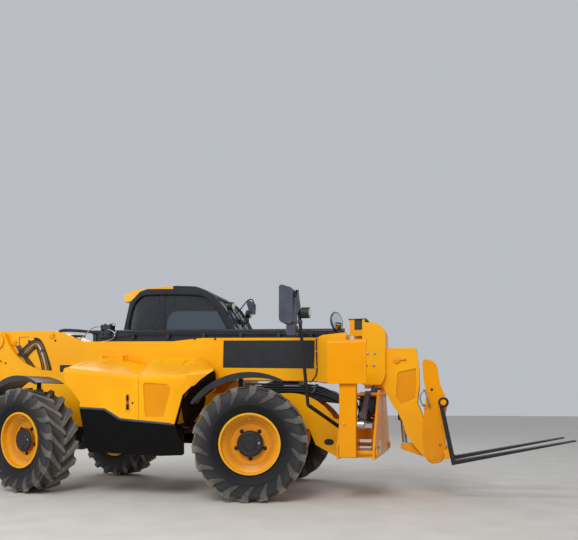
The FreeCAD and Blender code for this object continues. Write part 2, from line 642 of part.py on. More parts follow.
def stabiliser_leg(leg_x, ram_x):
    """A right-hand leg, standing upright beside the carrier."""
    half = LEG_WIDTH / 2
    y_out = -LEG_Y - LEG_DEPTH / 2
    y_in = -LEG_Y + LEG_DEPTH / 2
    column = box(leg_x - half, leg_x + half, y_out, y_in, LEG_PIVOT_Z - 40, FOOT_PIN_Z - 135)
    heel = box(leg_x - half, leg_x + half, y_in - 5, -LEG_PIVOT_Y + 10, LEG_PIVOT_Z - 55,
               LEG_PIVOT_Z + 55)
    boss = bar(V(leg_x - half, -LEG_PIVOT_Y, LEG_PIVOT_Z), V(leg_x + half, -LEG_PIVOT_Y, LEG_PIVOT_Z), 55)
    fork = joined(
        bar(V(leg_x - 60, -LEG_Y, FOOT_PIN_Z), V(leg_x + 60, -LEG_Y, FOOT_PIN_Z), 42),
        box(leg_x - 60, leg_x + 60, -LEG_Y - 42, -LEG_Y + 42, FOOT_PIN_Z - 140, FOOT_PIN_Z))
    toward = 1 if ram_x > leg_x else -1
    stub = bar(V(leg_x + toward * half, -LEG_Y, RAM_EYE_Z),
               V(ram_x - toward * (RAM_EYE_HALF + PIN_GAP), -LEG_Y, RAM_EYE_Z), RAM_PIN_R + 10)
    leg = joined(column, heel, boss, fork, stub)
    leg = leg.cut(bar(V(leg_x - half - 1, -LEG_PIVOT_Y, LEG_PIVOT_Z),
                      V(leg_x + half + 1, -LEG_PIVOT_Y, LEG_PIVOT_Z), LEG_PIN_R + PIN_GAP))
    return leg.cut(bar(V(leg_x - 61, -LEG_Y, FOOT_PIN_Z), V(leg_x + 61, -LEG_Y, FOOT_PIN_Z),
                       22 + PIN_GAP))


def stabiliser_foot(leg_x):
    """The foot, folded flat against the leg with its sole outward."""
    half = PAD_SIZE_X / 2
    sole_y = -LEG_Y - 100
    turn = PAD_HIGH_Z - PAD_ROLL
    plate = front_prism([
        (sole_y, PAD_LOW_Z), (sole_y, turn), (sole_y + 0.29 * PAD_ROLL, PAD_HIGH_Z - 0.29 * PAD_ROLL,
                                             sole_y + PAD_ROLL, PAD_HIGH_Z),
        (sole_y + 62, PAD_HIGH_Z), (sole_y + 62, PAD_HIGH_Z - 14), (sole_y + 40, PAD_HIGH_Z - 14),
        (sole_y + 25, turn - 10), (sole_y + 25, PAD_LOW_Z)], leg_x - half, leg_x + half)
    lugs = [plate, bar(V(leg_x - 100, -LEG_Y, FOOT_PIN_Z), V(leg_x + 100, -LEG_Y, FOOT_PIN_Z), 22)]
    for x0 in (leg_x - 95, leg_x + 67):
        lugs.append(side_to_side_lug(x0, x0 + 28, sole_y))
    return joined(*lugs)


def side_to_side_lug(x0, x1, sole_y):
    outline = [(sole_y + 5, FOOT_PIN_Z - 130), (sole_y + 5, FOOT_PIN_Z + 130),
               (-LEG_Y + 40, FOOT_PIN_Z + 40), (-LEG_Y + 40, FOOT_PIN_Z - 40)]
    return front_prism(outline, x0, x1)


def stabiliser_ram(ram_x):
    """Barrel and rod of a right-hand stabiliser ram, from the carrier out to the leg."""
    base = V(ram_x, -RAM_BASE_Y, RAM_BASE_Z)
    eye = V(ram_x, -LEG_Y, RAM_EYE_Z)
    return ram(base, eye, RAM_BARREL_R, RAM_ROD_R, RAM_PIN_R, RAM_EYE_HALF, V(1, 0, 0), 60.0,
               RAM_NECK)


def ram(base, eye, barrel_r, rod_r, pin_r, half_width, across_axis, gland, neck, retract=0.0):
    """A ram as (barrel, rod), able to draw in by retract from where it stands."""
    axis = eye.sub(base)
    length = axis.Length
    unit = V(axis.x / length, axis.y / length, axis.z / length)

    def on(distance):
        return V(base.x + unit.x * distance, base.y + unit.y * distance, base.z + unit.z * distance)

    def beside(point, distance):
        return V(point.x + across_axis.x * distance, point.y + across_axis.y * distance,
                 point.z + across_axis.z * distance)

    eye_r = pin_r + 20
    barrel_end = length - retract - eye_r - neck
    tube = bar(on(eye_r * 0.6), on(barrel_end), barrel_r)
    head = bar(on(barrel_end - gland), on(barrel_end), barrel_r + 6)
    lug = bar(beside(base, -half_width), beside(base, half_width), eye_r)
    barrel = joined(tube, head, lug)
    bore_half = max(half_width, barrel_r) + 1
    barrel = barrel.cut(bar(beside(base, -bore_half), beside(base, bore_half), pin_r + PIN_GAP))
    bore_start = eye_r + 40
    barrel = barrel.cut(bar(on(bore_start), on(barrel_end + 1), rod_r + PIN_GAP))
    stem = bar(on(bore_start + 20 + retract), on(length - eye_r * 0.5), rod_r)
    end = bar(beside(eye, -half_width), beside(eye, half_width), eye_r)
    return barrel, joined(stem, end)


# Boom

def level_boom(shape):
    return rotated(shape, V(PIVOT_X, 0, PIVOT_Z), V(0, 1, 0), BOOM_SLOPE)


def outer_outline():
    return [
        (BOOM_REAR_X, 1640), (-3980, BOOM_BOTTOM_Z), (BOOM_FRONT_X, BOOM_BOTTOM_Z),
        (BOOM_FRONT_X, BOOM_TOP_Z), (-848, BOOM_TOP_Z), (-1261, 1937), (-2571, 1937),
        (-2647, 1964), (-2878, 2052), (-3034, 2087), (-4000, 2087), (BOOM_REAR_X, 1990)]


def outer_block():
    """The outside of the boom's first section, with its mouth's collar, before it is hollowed."""
    half = BOOM_WIDTH / 2
    body = side_prism(outer_outline(), BOOM_Y - half, BOOM_Y + half)
    collar = box(BOOM_FRONT_X - 330, BOOM_FRONT_X, BOOM_Y - half - 14, BOOM_Y + half + 14,
                 BOOM_BOTTOM_Z - 14, BOOM_TOP_Z + 14)
    return joined(body, collar)


def boom_outer():
    half = BOOM_WIDTH / 2
    inside = half - BOOM_WALL
    body = outer_block().cut(box(-3560, BOOM_FRONT_X + 1, BOOM_Y - inside, BOOM_Y + inside,
                                 CAVITY_BOTTOM_Z, CAVITY_TOP_Z))
    body = joined(body, *slide_pads(BOOM_FRONT_X - 100, BOOM_FRONT_X - 10, inside,
                                    CAVITY_BOTTOM_Z, CAVITY_TOP_Z, SLIDE_GAP - PAD_GAP))
    # ribs on the collar, one at each side of the pipe
    rib = [(BOOM_FRONT_X - 360, BOOM_TOP_Z), (BOOM_FRONT_X, BOOM_TOP_Z),
           (BOOM_FRONT_X, BOOM_TOP_Z + 66), (BOOM_FRONT_X - 290, BOOM_TOP_Z + 34)]
    ribs = [side_prism(rib, y, y + 20) for y in (BOOM_Y - half + 15, BOOM_Y + 75)]
    body = joined(body, *ribs)
    body = body.cut(across(PIVOT_X, PIVOT_Z, BOOM_Y - half - 1, BOOM_Y + half + 1, PIVOT_R + PIN_GAP))
    ears = []
    for side in (-1, 1):
        y0 = boom_y(side, LIFT_EYE_HALF + RUN_GAP)
        y1 = boom_y(side, LIFT_EYE_HALF + RUN_GAP + 30)
        outline = [(LIFT_EYE_X - 170, BOOM_BOTTOM_Z + 4), (LIFT_EYE_X - 60, LIFT_EYE_Z - 60),
                   (LIFT_EYE_X + 60, LIFT_EYE_Z - 60), (LIFT_EYE_X + 170, BOOM_BOTTOM_Z + 4)]
        ears.append(side_prism(outline, min(y0, y1), max(y0, y1)))
        ears.append(across(LIFT_EYE_X, LIFT_EYE_Z, y0, boom_y(side, LIFT_EYE_HALF + RUN_GAP + 50), 40))
    lowered = level_boom(joined(body, *ears))
    bosses = [across(x, z, boom_y(-1, half + BOSS_PROUD), boom_y(1, half + BOSS_PROUD), radius)
              for x, z, radius in BOOM_BOSSES]
    return joined(lowered, *bosses)


def slide_pads(x0, x1, half, z0, z1, thick):
    """Wear pads on the inside walls of a section's mouth."""
    pads = []
    for side in (-1, 1):
        y_wall = boom_y(side, half + 1)
        y_face = boom_y(side, half - thick)
        for low in (z0 + 40, z1 - 140):
            pads.append(box(x0, x1, min(y_wall, y_face), max(y_wall, y_face), low, low + 100))
    for low, high in ((z0 - 1, z0 + thick), (z1 - thick, z1 + 1)):
        for side in (-1, 1):
            centre = boom_y(side, half * 0.55)
            pads.append(box(x0, x1, centre - 40, centre + 40, low, high))
    return pads


def tail_pads(x0, x1, half, z0, z1, thick):
    """Wear pads on the outside of a section's rear end."""
    pads = []
    for side in (-1, 1):
        y_wall = boom_y(side, half - 1)
        y_face = boom_y(side, half + thick)
        pads.append(box(x0, x1, min(y_wall, y_face), max(y_wall, y_face), z0 + 60, z1 - 60))
    for low, high in ((z0 - thick, z0 + 1), (z1 - 1, z1 + thick)):
        pads.append(box(x0, x1, BOOM_Y - half + 40, BOOM_Y + half - 40, low, high))
    return pads


def section(x0, x1, half, z0, z1, wall, collar):
    """A hollow boom section with a thicker collar at its mouth."""
    body = box(x0, x1, BOOM_Y - half, BOOM_Y + half, z0, z1)
    rim = box(x1 - collar, x1, BOOM_Y - half - 18, BOOM_Y + half + 18, z0 - 18, z1 + 18)
    body = joined(body, rim)
    return body.cut(box(x0 - 1, x1 + 1, BOOM_Y - half + wall, BOOM_Y + half - wall,
                        z0 + wall, z1 - wall))


def boom_middle():
    body = section(MIDDLE_REAR_X, MIDDLE_FRONT_X, MIDDLE_HALF, MIDDLE_Z0, MIDDLE_Z1, MIDDLE_WALL,
                   MIDDLE_FRONT_X - BOOM_FRONT_X - MOUTH_GAP)
    thick = SLIDE_GAP - PAD_GAP
    pads = slide_pads(MIDDLE_FRONT_X - 100, MIDDLE_FRONT_X - 10, MIDDLE_HALF - MIDDLE_WALL,
                      MIDDLE_Z0 + MIDDLE_WALL, MIDDLE_Z1 - MIDDLE_WALL, thick)
    pads += tail_pads(MIDDLE_REAR_X, MIDDLE_REAR_X + 120, MIDDLE_HALF, MIDDLE_Z0, MIDDLE_Z1, thick)
    return level_boom(joined(body, *pads))


def boom_inner():
    front = MIDDLE_FRONT_X + MOUTH_GAP
    body = box(INNER_REAR_X, front + 60, BOOM_Y - INNER_HALF, BOOM_Y + INNER_HALF, INNER_Z0, INNER_Z1)
    body = body.cut(box(INNER_REAR_X - 1, front - 200, BOOM_Y - INNER_HALF + INNER_WALL,
                        BOOM_Y + INNER_HALF - INNER_WALL, INNER_Z0 + INNER_WALL, INNER_Z1 - INNER_WALL))
    pads = tail_pads(INNER_REAR_X, INNER_REAR_X + 120, INNER_HALF, INNER_Z0, INNER_Z1,
                     SLIDE_GAP - PAD_GAP)
    body = level_boom(joined(body, *pads))
    return joined(body, boom_head())


def boom_head():
    """The head plates and the gooseneck below them, in the machine's own axes."""
    head = [(1190, 1290), (1190, 2025), (1300, 2025), (1415, 1977, 1462, 1862), (1462, 1470),
            (1452, 1370, 1405, 1285)]
    neck = [(1360, 1420), (1400, 1720), (1813, 1713), (1845, 1473), (1852, 1295), (1827, 1070),
            (1870, 977), (1930, 800), (2010, 620), (CARRIAGE_X, CARRIAGE_Z), (1900, 440),
            (1881, 464), (1779, 586), (1690, 724), (1663, 839), (1596, 971), (1552, 1029),
            (1424, 1272)]
    head_block = side_prism(head, BOOM_Y - HEAD_HALF, BOOM_Y + HEAD_HALF)
    neck_block = joined(
        side_prism(neck, BOOM_Y - NECK_HALF, BOOM_Y + NECK_HALF),
        across(CARRIAGE_X, CARRIAGE_Z, BOOM_Y - NECK_HALF, BOOM_Y + NECK_HALF, NECK_TIP_R))
    inside = NECK_HALF - HEAD_PLATE
    slot = side_prism([(1500, 1150), (1480, 1200), (1480, 1660), (1800, 1660), (1800, 1320),
                       (1900, 1200), (2200, 1000), (2200, 300), (1500, 300)],
                      BOOM_Y - inside, BOOM_Y + inside)
    neck_block = neck_block.cut(slot)
    recess = [(1594, 1395), (1604, 1425, 1634, 1438), (1812, 1474), (1820, 1300), (1800, 1120),
              (1634, 1049), (1581, 1145)]
    for side in (-1, 1):
        y0 = boom_y(side, NECK_HALF - RECESS_DEPTH)
        y1 = boom_y(side, NECK_HALF + 1)
        neck_block = neck_block.cut(side_prism(recess, min(y0, y1), max(y0, y1)))
    body = joined(head_block, neck_block)
    body = body.cut(across(CARRIAGE_X, CARRIAGE_Z, BOOM_Y - NECK_HALF - 1, BOOM_Y + NECK_HALF + 1,
                           CARRIAGE_PIN_R + PIN_GAP))
    tilt_pin = across(TILT_BASE_X, TILT_BASE_Z, BOOM_Y - NECK_HALF - 20, BOOM_Y + NECK_HALF + 20,
                      TILT_PIN_R)
    return joined(body, tilt_pin)


# Carriage and forks

def carriage_boss(side):
    """The thick eye where a carriage plate takes the gooseneck's pin."""
    y0 = boom_y(side, NECK_HALF + RUN_GAP)
    y1 = boom_y(side, NECK_HALF + RUN_GAP + 44)
    return across(CARRIAGE_X, CARRIAGE_Z, y0, y1, 92)


def carriage():
    """Side plates on the gooseneck's pin, joined by the rails that hold the forks."""
    plate = [
        (1885, 1545), (1905, 1570, 1952, 1572), (2025, 1535, 2060, 1440), (2086, 1290), (2150, 1130),
        (2165, 1020), (2150, 955), (2150, 522), (2115, 408, 2022, 372), (1945, 402, 1920, 470),
        (1890, 700), (1905, 977), (1935, 1180), (1900, 1330)]
    parts = []
    for side in (-1, 1):
        y0 = boom_y(side, NECK_HALF + RUN_GAP)
        y1 = boom_y(side, NECK_HALF + RUN_GAP + 30)
        cheek = side_prism(plate, min(y0, y1), max(y0, y1))
        for x, z in CHEEK_HOLES:
            cheek = cheek.cut(across(x, z, min(y0, y1) - 1, max(y0, y1) + 1, CHEEK_HOLE_R))
        parts.append(cheek)
    parts.append(carriage_boss(-1))
    parts.append(carriage_boss(1))
    wide = FORK_SPAN_Y + FORK_WIDTH / 2 + 60
    parts.append(across(SHAFT_X, SHAFT_Z, BOOM_Y - wide, BOOM_Y + wide, SHAFT_R))
    parts.append(fork_lean(box(FORK_HEEL_X - FORK_THICK - SEAT_GAP - 56, FORK_HEEL_X - FORK_THICK - SEAT_GAP,
                               BOOM_Y - wide, BOOM_Y + wide, 465, 570)))
    parts.append(across(CARRIAGE_X, CARRIAGE_Z, BOOM_Y - NECK_HALF - 60, BOOM_Y + NECK_HALF + 60,
                        CARRIAGE_PIN_R))
    # the lever inside the gooseneck that the tilt ram works on
    hub_half = NECK_HALF - HEAD_PLATE - RUN_GAP
    parts.append(across(CARRIAGE_X, CARRIAGE_Z, BOOM_Y - hub_half, BOOM_Y + hub_half, 70))
    lever = [(CARRIAGE_X, CARRIAGE_Z + 70), (TILT_EYE_X - 10, TILT_EYE_Z + 45),
             (TILT_EYE_X - 48, TILT_EYE_Z), (TILT_EYE_X - 10, TILT_EYE_Z - 45),
             (CARRIAGE_X, CARRIAGE_Z - 70)]
    for side in (-1, 1):
        y0 = boom_y(side, TILT_EYE_HALF + RUN_GAP)
        y1 = boom_y(side, TILT_EYE_HALF + RUN_GAP + 25)
        parts.append(side_prism(lever, min(y0, y1), max(y0, y1)))
    return joined(*parts)


def fork_lean(shape):
    """Leans a shape back with the forks, about their heel."""
    return rotated(shape, V(FORK_HEEL_X, 0, FORK_HEEL_Z), V(0, 1, 0), -FORK_TILT)


def forks():
    """Two forks hung on the carriage's shaft."""
    both = []
    for side in (-1, 1):
        y = boom_y(side, FORK_SPAN_Y)
        y0 = y - FORK_WIDTH / 2
        y1 = y + FORK_WIDTH / 2
        low = [(0, 0), (FORK_LENGTH, 22), (FORK_LENGTH, 34), (60, FORK_THICK), (FORK_THICK, 60),
               (FORK_THICK, FORK_SHANK), (0, FORK_SHANK)]
        blade = fork_lean(side_prism(
            [(FORK_HEEL_X - FORK_THICK + x, FORK_HEEL_Z - FORK_THICK + z) for x, z in low], y0, y1))
        eye = across(SHAFT_X, SHAFT_Z, y0, y1, SHAFT_R + 26)
        one = joined(blade, eye).cut(across(SHAFT_X, SHAFT_Z, y0 - 1, y1 + 1, SHAFT_R + PIN_GAP))
        both.append(one)
    return Part.makeCompound(both)


# Engine side

def pod_loft(proud=0.0, lower=780.0):
    """The engine cover as one solid, grown by proud."""
    wires = []
    for side_x, inner_x, shoulder, top, out in POD_STATIONS:
        slant = (inner_x - side_x) / (SIDE_Y - BONNET_TOP_Y)

        def at(y, z):
            return V(side_x + (y + SIDE_Y) * slant, y, z)

        y0 = -out - proud
        z0 = shoulder + proud
        # the shoulder turns from upright into the slope of the top
        slope = math.atan2(top - shoulder - POD_ROUND, out - BONNET_TOP_Y - POD_ROUND)
        bend = math.pi / 2 - slope
        round_points = [at(y0 + POD_ROUND * (1 - math.cos(turn)), z0 + POD_ROUND * math.sin(turn))
                        for turn in (bend / 2, bend)]
        corners = [at(-BONNET_TOP_Y, top + proud), at(-POD_INNER_Y, top + proud),
                   at(-POD_INNER_Y, lower), at(y0, lower), at(y0, z0)]
        edges = [Part.Arc(corners[-1], *round_points).toShape(),
                 Part.makeLine(round_points[-1], corners[0])]
        for a, b in zip(corners, corners[1:]):
            edges.append(Part.makeLine(a, b))
        wires.append(Part.Wire(edges))
    return Part.makeLoft(wires, True, True)


def pod_field():
    """The room that the engine cover may take, ending in a nose that slants over the wheel."""
    field = side_prism(POD_SIDE, -SIDE_Y - 50, -POD_INNER_Y)
    nose = plan_prism([(ARCH_X + 183, -POD_INNER_Y + 1), (ARCH_X + 404, -900),
                       (ARCH_X + 449, -SIDE_Y - 60), (0, -SIDE_Y - 60), (0, -POD_INNER_Y + 1)],
                      700, 1800)
    return field.cut(nose)


def pod_outer():
    """The engine cover before it is hollowed, with the raised edge of its wheel arch."""
    field = pod_field()
    lip = pod_loft(POD_LIP).common(field).common(steer_room(0.0, -1, POD_LIP_WIDTH))
    solid = joined(pod_loft().common(field), lip)
    solid = solid.cut(steer_room(0.0, -1, LINER + SEAT_GAP))
    solid = solid.cut(side_prism(POD_RECESS, -SIDE_Y - 1, -SIDE_Y + RECESS_DEPTH))
    return solid.cut(steer_room(-WHEELBASE, -1))


def arch_liner():
    """The black lining of the front wheel arch, reaching down into the dark body side."""
    x0 = ARCH_X - 31
    x1 = ARCH_X + 109
    reach = joined(pod_field(), side_prism([(x0, 790), (x0, 840), (x1, 840), (x1, 790)],
                                           -SIDE_Y + 4, -POD_INNER_Y - 4))
    lining = steer_room(0.0, -1, LINER).cut(steer_room(0.0, -1))
    return lining.common(pod_loft(0.0, 700.0)).common(reach)


def pod_hollow():
    front = ARCH_X - 50
    room = side_prism([(POD_REAR_X + 90, 1640), (POD_REAR_X + 90, 1440), (BODY_REAR_X + 50, 1030),
                       (BODY_REAR_X + 50, 700), (front, 700), (front, 1000), (front + 70, 1130),
                       (front + 100, 1330), (front + 100, 1640)],
                      -SIDE_Y + POD_WALL, -POD_INNER_Y - POD_WALL)
    return room.common(pod_loft(-POD_WALL, 600.0))


def behind_seam(draw_back, hinge_line):
    """All that lies behind the bonnet's front seam and outside the line along its hinges."""
    side_x = BONNET_SEAM_X - draw_back
    outer = -SIDE_Y - 60
    return plan_prism([(POD_REAR_X - 200, outer), (side_x, outer), (side_x, -SIDE_Y + POD_ROUND),
                       (side_x - SEAM_SLANT, hinge_line), (POD_REAR_X - 200, hinge_line)], 700, 1800)


def engine_side():
    shell = pod_outer().cut(pod_hollow())
    bonnet = biggest(shell.common(behind_seam(HINGE_GAP, -BONNET_TOP_Y + 20)))
    for y in LOUVRE_Y:
        bonnet = bonnet.cut(box(*LOUVRE_X, y, y + LOUVRE_WIDE, 1440, 1760))
    bonnet = joined(bonnet, *[bonnet_strap(x) for x in BONNET_HINGE_X])
    for x in BONNET_HINGE_X:
        bonnet = bonnet.cut(bonnet_rod(x - 1, x + BONNET_KNUCKLE + 1, BONNET_PIN_R + PIN_GAP))
    keep("bonnet", bonnet)
    fixed = biggest(shell.cut(behind_seam(-HINGE_GAP, -BONNET_TOP_Y + 24)))
    keep("engine_pod", joined(fixed, *[bonnet_bracket(x) for x in BONNET_HINGE_X]))
    keep("engine_block", box(BODY_REAR_X + 120, -WHEELBASE * 0.418, -SIDE_Y + SKIRT_DEPTH + RUN_GAP,
                             -POD_INNER_Y - POD_WALL - SEAT_GAP, OUTRIGGER_Z + SEAT_GAP, 1300))
    keep("air_duct", box(*DUCT_X, DUCT_Y, BOOM_Y - RAIL_OUT_Y - SEAT_GAP, *DUCT_Z))


def bonnet_rod(x0, x1, radius):
    return bar(V(x0, BONNET_HINGE_Y, BONNET_HINGE_Z), V(x1, BONNET_HINGE_Y, BONNET_HINGE_Z), radius)


def bonnet_strap(x):
    """The bonnet's half of a hinge, reaching over the seam."""
    x1 = x + BONNET_KNUCKLE
    outer = -BONNET_TOP_Y - 45
    reach = box(x, x1, outer, BONNET_HINGE_Y, BONNET_HINGE_Z - 10, BONNET_HINGE_Z)
    root = box(x, x1, outer, -BONNET_TOP_Y + 12, BONNET_HINGE_Z - BONNET_HINGE_DROP, BONNET_HINGE_Z)
    return joined(bonnet_rod(x, x1, BONNET_KNUCKLE_R), reach, root)


def bonnet_bracket(x):
    """The pod's half of a hinge: two cheeks that hold the pin."""
    parts = [bonnet_rod(x - 22, x + BONNET_KNUCKLE + 22, BONNET_PIN_R)]
    for x0 in (x - 22, x + BONNET_KNUCKLE + HINGE_GAP):
        parts.append(box(x0, x0 + 22 - HINGE_GAP, BONNET_HINGE_Y - 11, BONNET_HINGE_Y + 20,
                         BONNET_HINGE_Z - BONNET_HINGE_DROP, BONNET_HINGE_Z + 8))
    return joined(*parts)


def biggest(shape):
    solids = sorted(shape.Solids, key=lambda s: s.Volume)
    return solids[-1]


def skirt(side):
    """The dark lower body side between the wheels: a cover on the right, a tank with a step left."""
    if side < 0:
        outline = [(BODY_REAR_X, 1009), (BODY_REAR_X + 323, 998), (BODY_REAR_X + 537, 882),
                   (ARCH_X - 2, 825), (ARCH_X + 39, 700), (ARCH_X + 169, 485), (ARCH_X - 174, 466),
                   (BODY_REAR_X + 127, 494), (BODY_REAR_X + 90, 560)]
        hollow = [(BODY_REAR_X + 140, 840), (BODY_REAR_X + 560, 840), (ARCH_X - 91, 780), (ARCH_X - 91, 540),
                  (BODY_REAR_X + 160, 560)]
    else:
        high = CAB_BOTTOM_Z - RUN_GAP
        outline = [(BODY_REAR_X + 95, high), (ARCH_X - 6, high), (ARCH_X + 39, 700),
                   (ARCH_X + 169, 485), (ARCH_X - 174, 466), (BODY_REAR_X + 127, 494)]
        hollow = [(BODY_REAR_X + 140, 830), (ARCH_X - 91, 830), (ARCH_X - 91, 540), (BODY_REAR_X + 160, 560)]
    body = side_prism(outline, -SIDE_Y, -SIDE_Y + SKIRT_DEPTH)
    body = body.cut(side_prism(hollow, -SIDE_Y + SKIRT_WALL, -SIDE_Y + SKIRT_DEPTH + 1))
    if side > 0:
        body = mirrored(body)
    for axle_x in (0.0, -WHEELBASE):
        body = body.cut(steer_room(axle_x, side))
    if side < 0:
        body = joined(body, arch_liner())
    return body


# Cab

def strip(line, near, far, trim=0.0):
    """A band that follows a line, from one distance inside it to another."""
    centre = V(-1300, 0, 1900)
    points = [V(x, 0, z) for x, z in line]
    for end, beside in ((0, 1), (-1, -2)):
        pull = points[beside].sub(points[end])
        pull.normalize()
        points[end] = points[end].add(pull.multiply(trim))
    normals = []
    for a, b in zip(points, points[1:]):
        run = b.sub(a)
        normal = V(-run.z, 0, run.x)
        if normal.dot(centre.sub(a)) < 0:
            normal = normal.negative()
        normals.append(normal.normalize())

    def shifted(distance):
        result = []
        for i, point in enumerate(points):
            first = normals[max(i - 1, 0)]
            second = normals[min(i, len(normals) - 1)]
            mean = first.add(second)
            mean.normalize()
            reach = distance / mean.dot(first)
            result.append((point.x + mean.x * reach, point.z + mean.z * reach))
        return result

    return shifted(near) + shifted(far)[::-1]


def cab_shell():
    shell = side_prism(CAB_OUTLINE, CAB_INNER_Y, CAB_OUTER_Y)
    inside = side_prism(CAB_INSIDE, CAB_INNER_Y + CAB_WALL, CAB_OUTER_Y - CAB_WALL)
    shell = shell.cut(inside)
    window = side_prism(SIDE_WINDOW, CAB_INNER_Y - 1, CAB_INNER_Y + CAB_WALL + 1)
    shell = shell.cut(window)
    for line in WINDOW_LINES:
        shell = shell.cut(side_prism(strip(line, -40, CAB_WALL + 60), CAB_INNER_Y + WINDOW_SIDE,
                                     CAB_OUTER_Y - WINDOW_SIDE))
    shell = shell.cut(side_prism(DOOR_OUTLINE, CAB_OUTER_Y - CAB_WALL - 1, CAB_OUTER_Y + 1))
    for axle_x in (0.0, -WHEELBASE):
        shell = shell.cut(steer_room(axle_x, 1))
    return shell


def shrunk(outline, amount):
    """An outline pulled in evenly on every side."""
    wire = Part.makePolygon([V(x, 0, z) for x, z in outline + [outline[0]]])
    inner = Part.Face(wire).makeOffset2D(-amount, 2)
    return [(v.X, v.Z) for v in inner.OuterWire.OrderedVertexes]


def door_post(z0, z1, radius):
    return bar(V(DOOR_HINGE_X, DOOR_HINGE_Y, z0), V(DOOR_HINGE_X, DOOR_HINGE_Y, z1), radius)


def door_brackets():
    """The cab's half of the door hinges: a pin held above and below each knuckle."""
    parts = []
    for z in DOOR_HINGE_Z:
        parts.append(door_post(z - 30, z + DOOR_KNUCKLE + 30, DOOR_PIN_R))
        for low in (z - 30, z + DOOR_KNUCKLE + HINGE_GAP):
            high = low + 30 - HINGE_GAP
            parts.append(box(DOOR_HINGE_X - 25, DOOR_HINGE_X, CAB_OUTER_Y - 5,
                             DOOR_HINGE_Y + DOOR_KNUCKLE_R, low, high))
            parts.append(door_post(low, high, DOOR_KNUCKLE_R))
    return parts


def door_strap(z, face_y):
    """The door's half of a hinge, stepping over the edge of the cab's side."""
    reach = box(DOOR_HINGE_X, DOOR_HINGE_X + 65, DOOR_HINGE_Y - 10, DOOR_HINGE_Y, z, z + DOOR_KNUCKLE)
    root = box(DOOR_HINGE_X + 15, DOOR_HINGE_X + 60, face_y - 5, DOOR_HINGE_Y, z, z + DOOR_KNUCKLE)
    return joined(door_post(z, z + DOOR_KNUCKLE, DOOR_KNUCKLE_R), reach, root)


def cab_pieces():
    shell = cab_shell()
    base = shell.common(box(-2400, -200, 0, 1300, 700, CAB_SILL_Z))
    upper = shell.common(box(-2400, -200, 0, 1300, CAB_SILL_Z, 2800))
    keep("cab_base", biggest(base))
    keep("cab_frame", joined(biggest(upper), *door_brackets()))
    roof = side_prism([(-2235, 2500), (-2240, 2600), (-2050, 2665), (-1600, 2690), (-1150, 2665),
                       (-1150, 2620)], CAB_INNER_Y + 60, CAB_OUTER_Y - 30)
    cut_away = side_prism(CAB_OUTLINE, CAB_INNER_Y - 5, CAB_OUTER_Y + 5)
    keep("cab_roof", biggest(moved(roof, 0, 0, SEAT_GAP).cut(moved(cut_away, 0, 0, SEAT_GAP))))
    panes = [side_prism(shrunk(SIDE_WINDOW, SEAT_GAP), CAB_INNER_Y + 20,
                        CAB_INNER_Y + 20 + GLASS_THICK)]
    for line in WINDOW_LINES:
        panes.append(side_prism(strip(line, GLASS_SET, GLASS_SET + GLASS_THICK, SEAT_GAP),
                                CAB_INNER_Y + WINDOW_SIDE + SEAT_GAP,
                                CAB_OUTER_Y - WINDOW_SIDE - SEAT_GAP))
    keep("cab_glass", Part.makeCompound(panes))
    door_edge = shrunk(DOOR_OUTLINE, RUN_GAP)
    frame_edge = shrunk(DOOR_OUTLINE, RUN_GAP + 55)
    glass_edge = shrunk(DOOR_OUTLINE, RUN_GAP + 55 + SEAT_GAP)
    y1 = CAB_OUTER_Y - 5
    door = side_prism(door_edge, y1 - DOOR_THICK, y1)
    door = door.cut(side_prism(frame_edge, y1 - DOOR_THICK - 1, y1 + 1))
    door = joined(door, *[door_strap(z, y1) for z in DOOR_HINGE_Z])
    for z in DOOR_HINGE_Z:
        door = door.cut(door_post(z - 1, z + DOOR_KNUCKLE + 1, DOOR_PIN_R + PIN_GAP))
    keep("cab_door", door)
    keep("cab_door_glass", side_prism(glass_edge, y1 - 22, y1 - 22 + GLASS_THICK))


def cab_inside():
    mid = (CAB_INNER_Y + CAB_OUTER_Y) / 2
    floor = 960.0 + SEAT_GAP
    seat = joined(
        box(-1750, -1350, mid - 170, mid + 170, floor, 1180),
        box(-1800, -1270, mid - 250, mid + 250, 1180, 1340),
        side_prism([(-1820, 1300), (-1930, 1960), (-1830, 1990), (-1690, 1320)], mid - 240, mid + 240))
    console = joined(
        side_prism([(-880, floor), (-880, 1160), (-760, 1360), (-700, 1560), (-720, 1640),
                    (-860, 1600), (-960, floor)], mid - 160, mid + 160),
        bar(V(-800, mid, 1560), V(-945, mid, 1830), 35))
    wheel = Part.makeTorus(180, 15, V(-950, mid, 1840), V(-0.47, 0, 0.88))
    hub = bar(V(-935, mid, 1812), V(-955, mid, 1850), 45)
    spoke = rotated(box(-1130, -770, mid - 18, mid + 18, 1832, 1848), V(-950, mid, 1840), V(0, 1, 0), -28)
    keep("cab_interior", Part.makeCompound([seat, joined(console, wheel, hub, spoke)]))


# Small things on the chassis

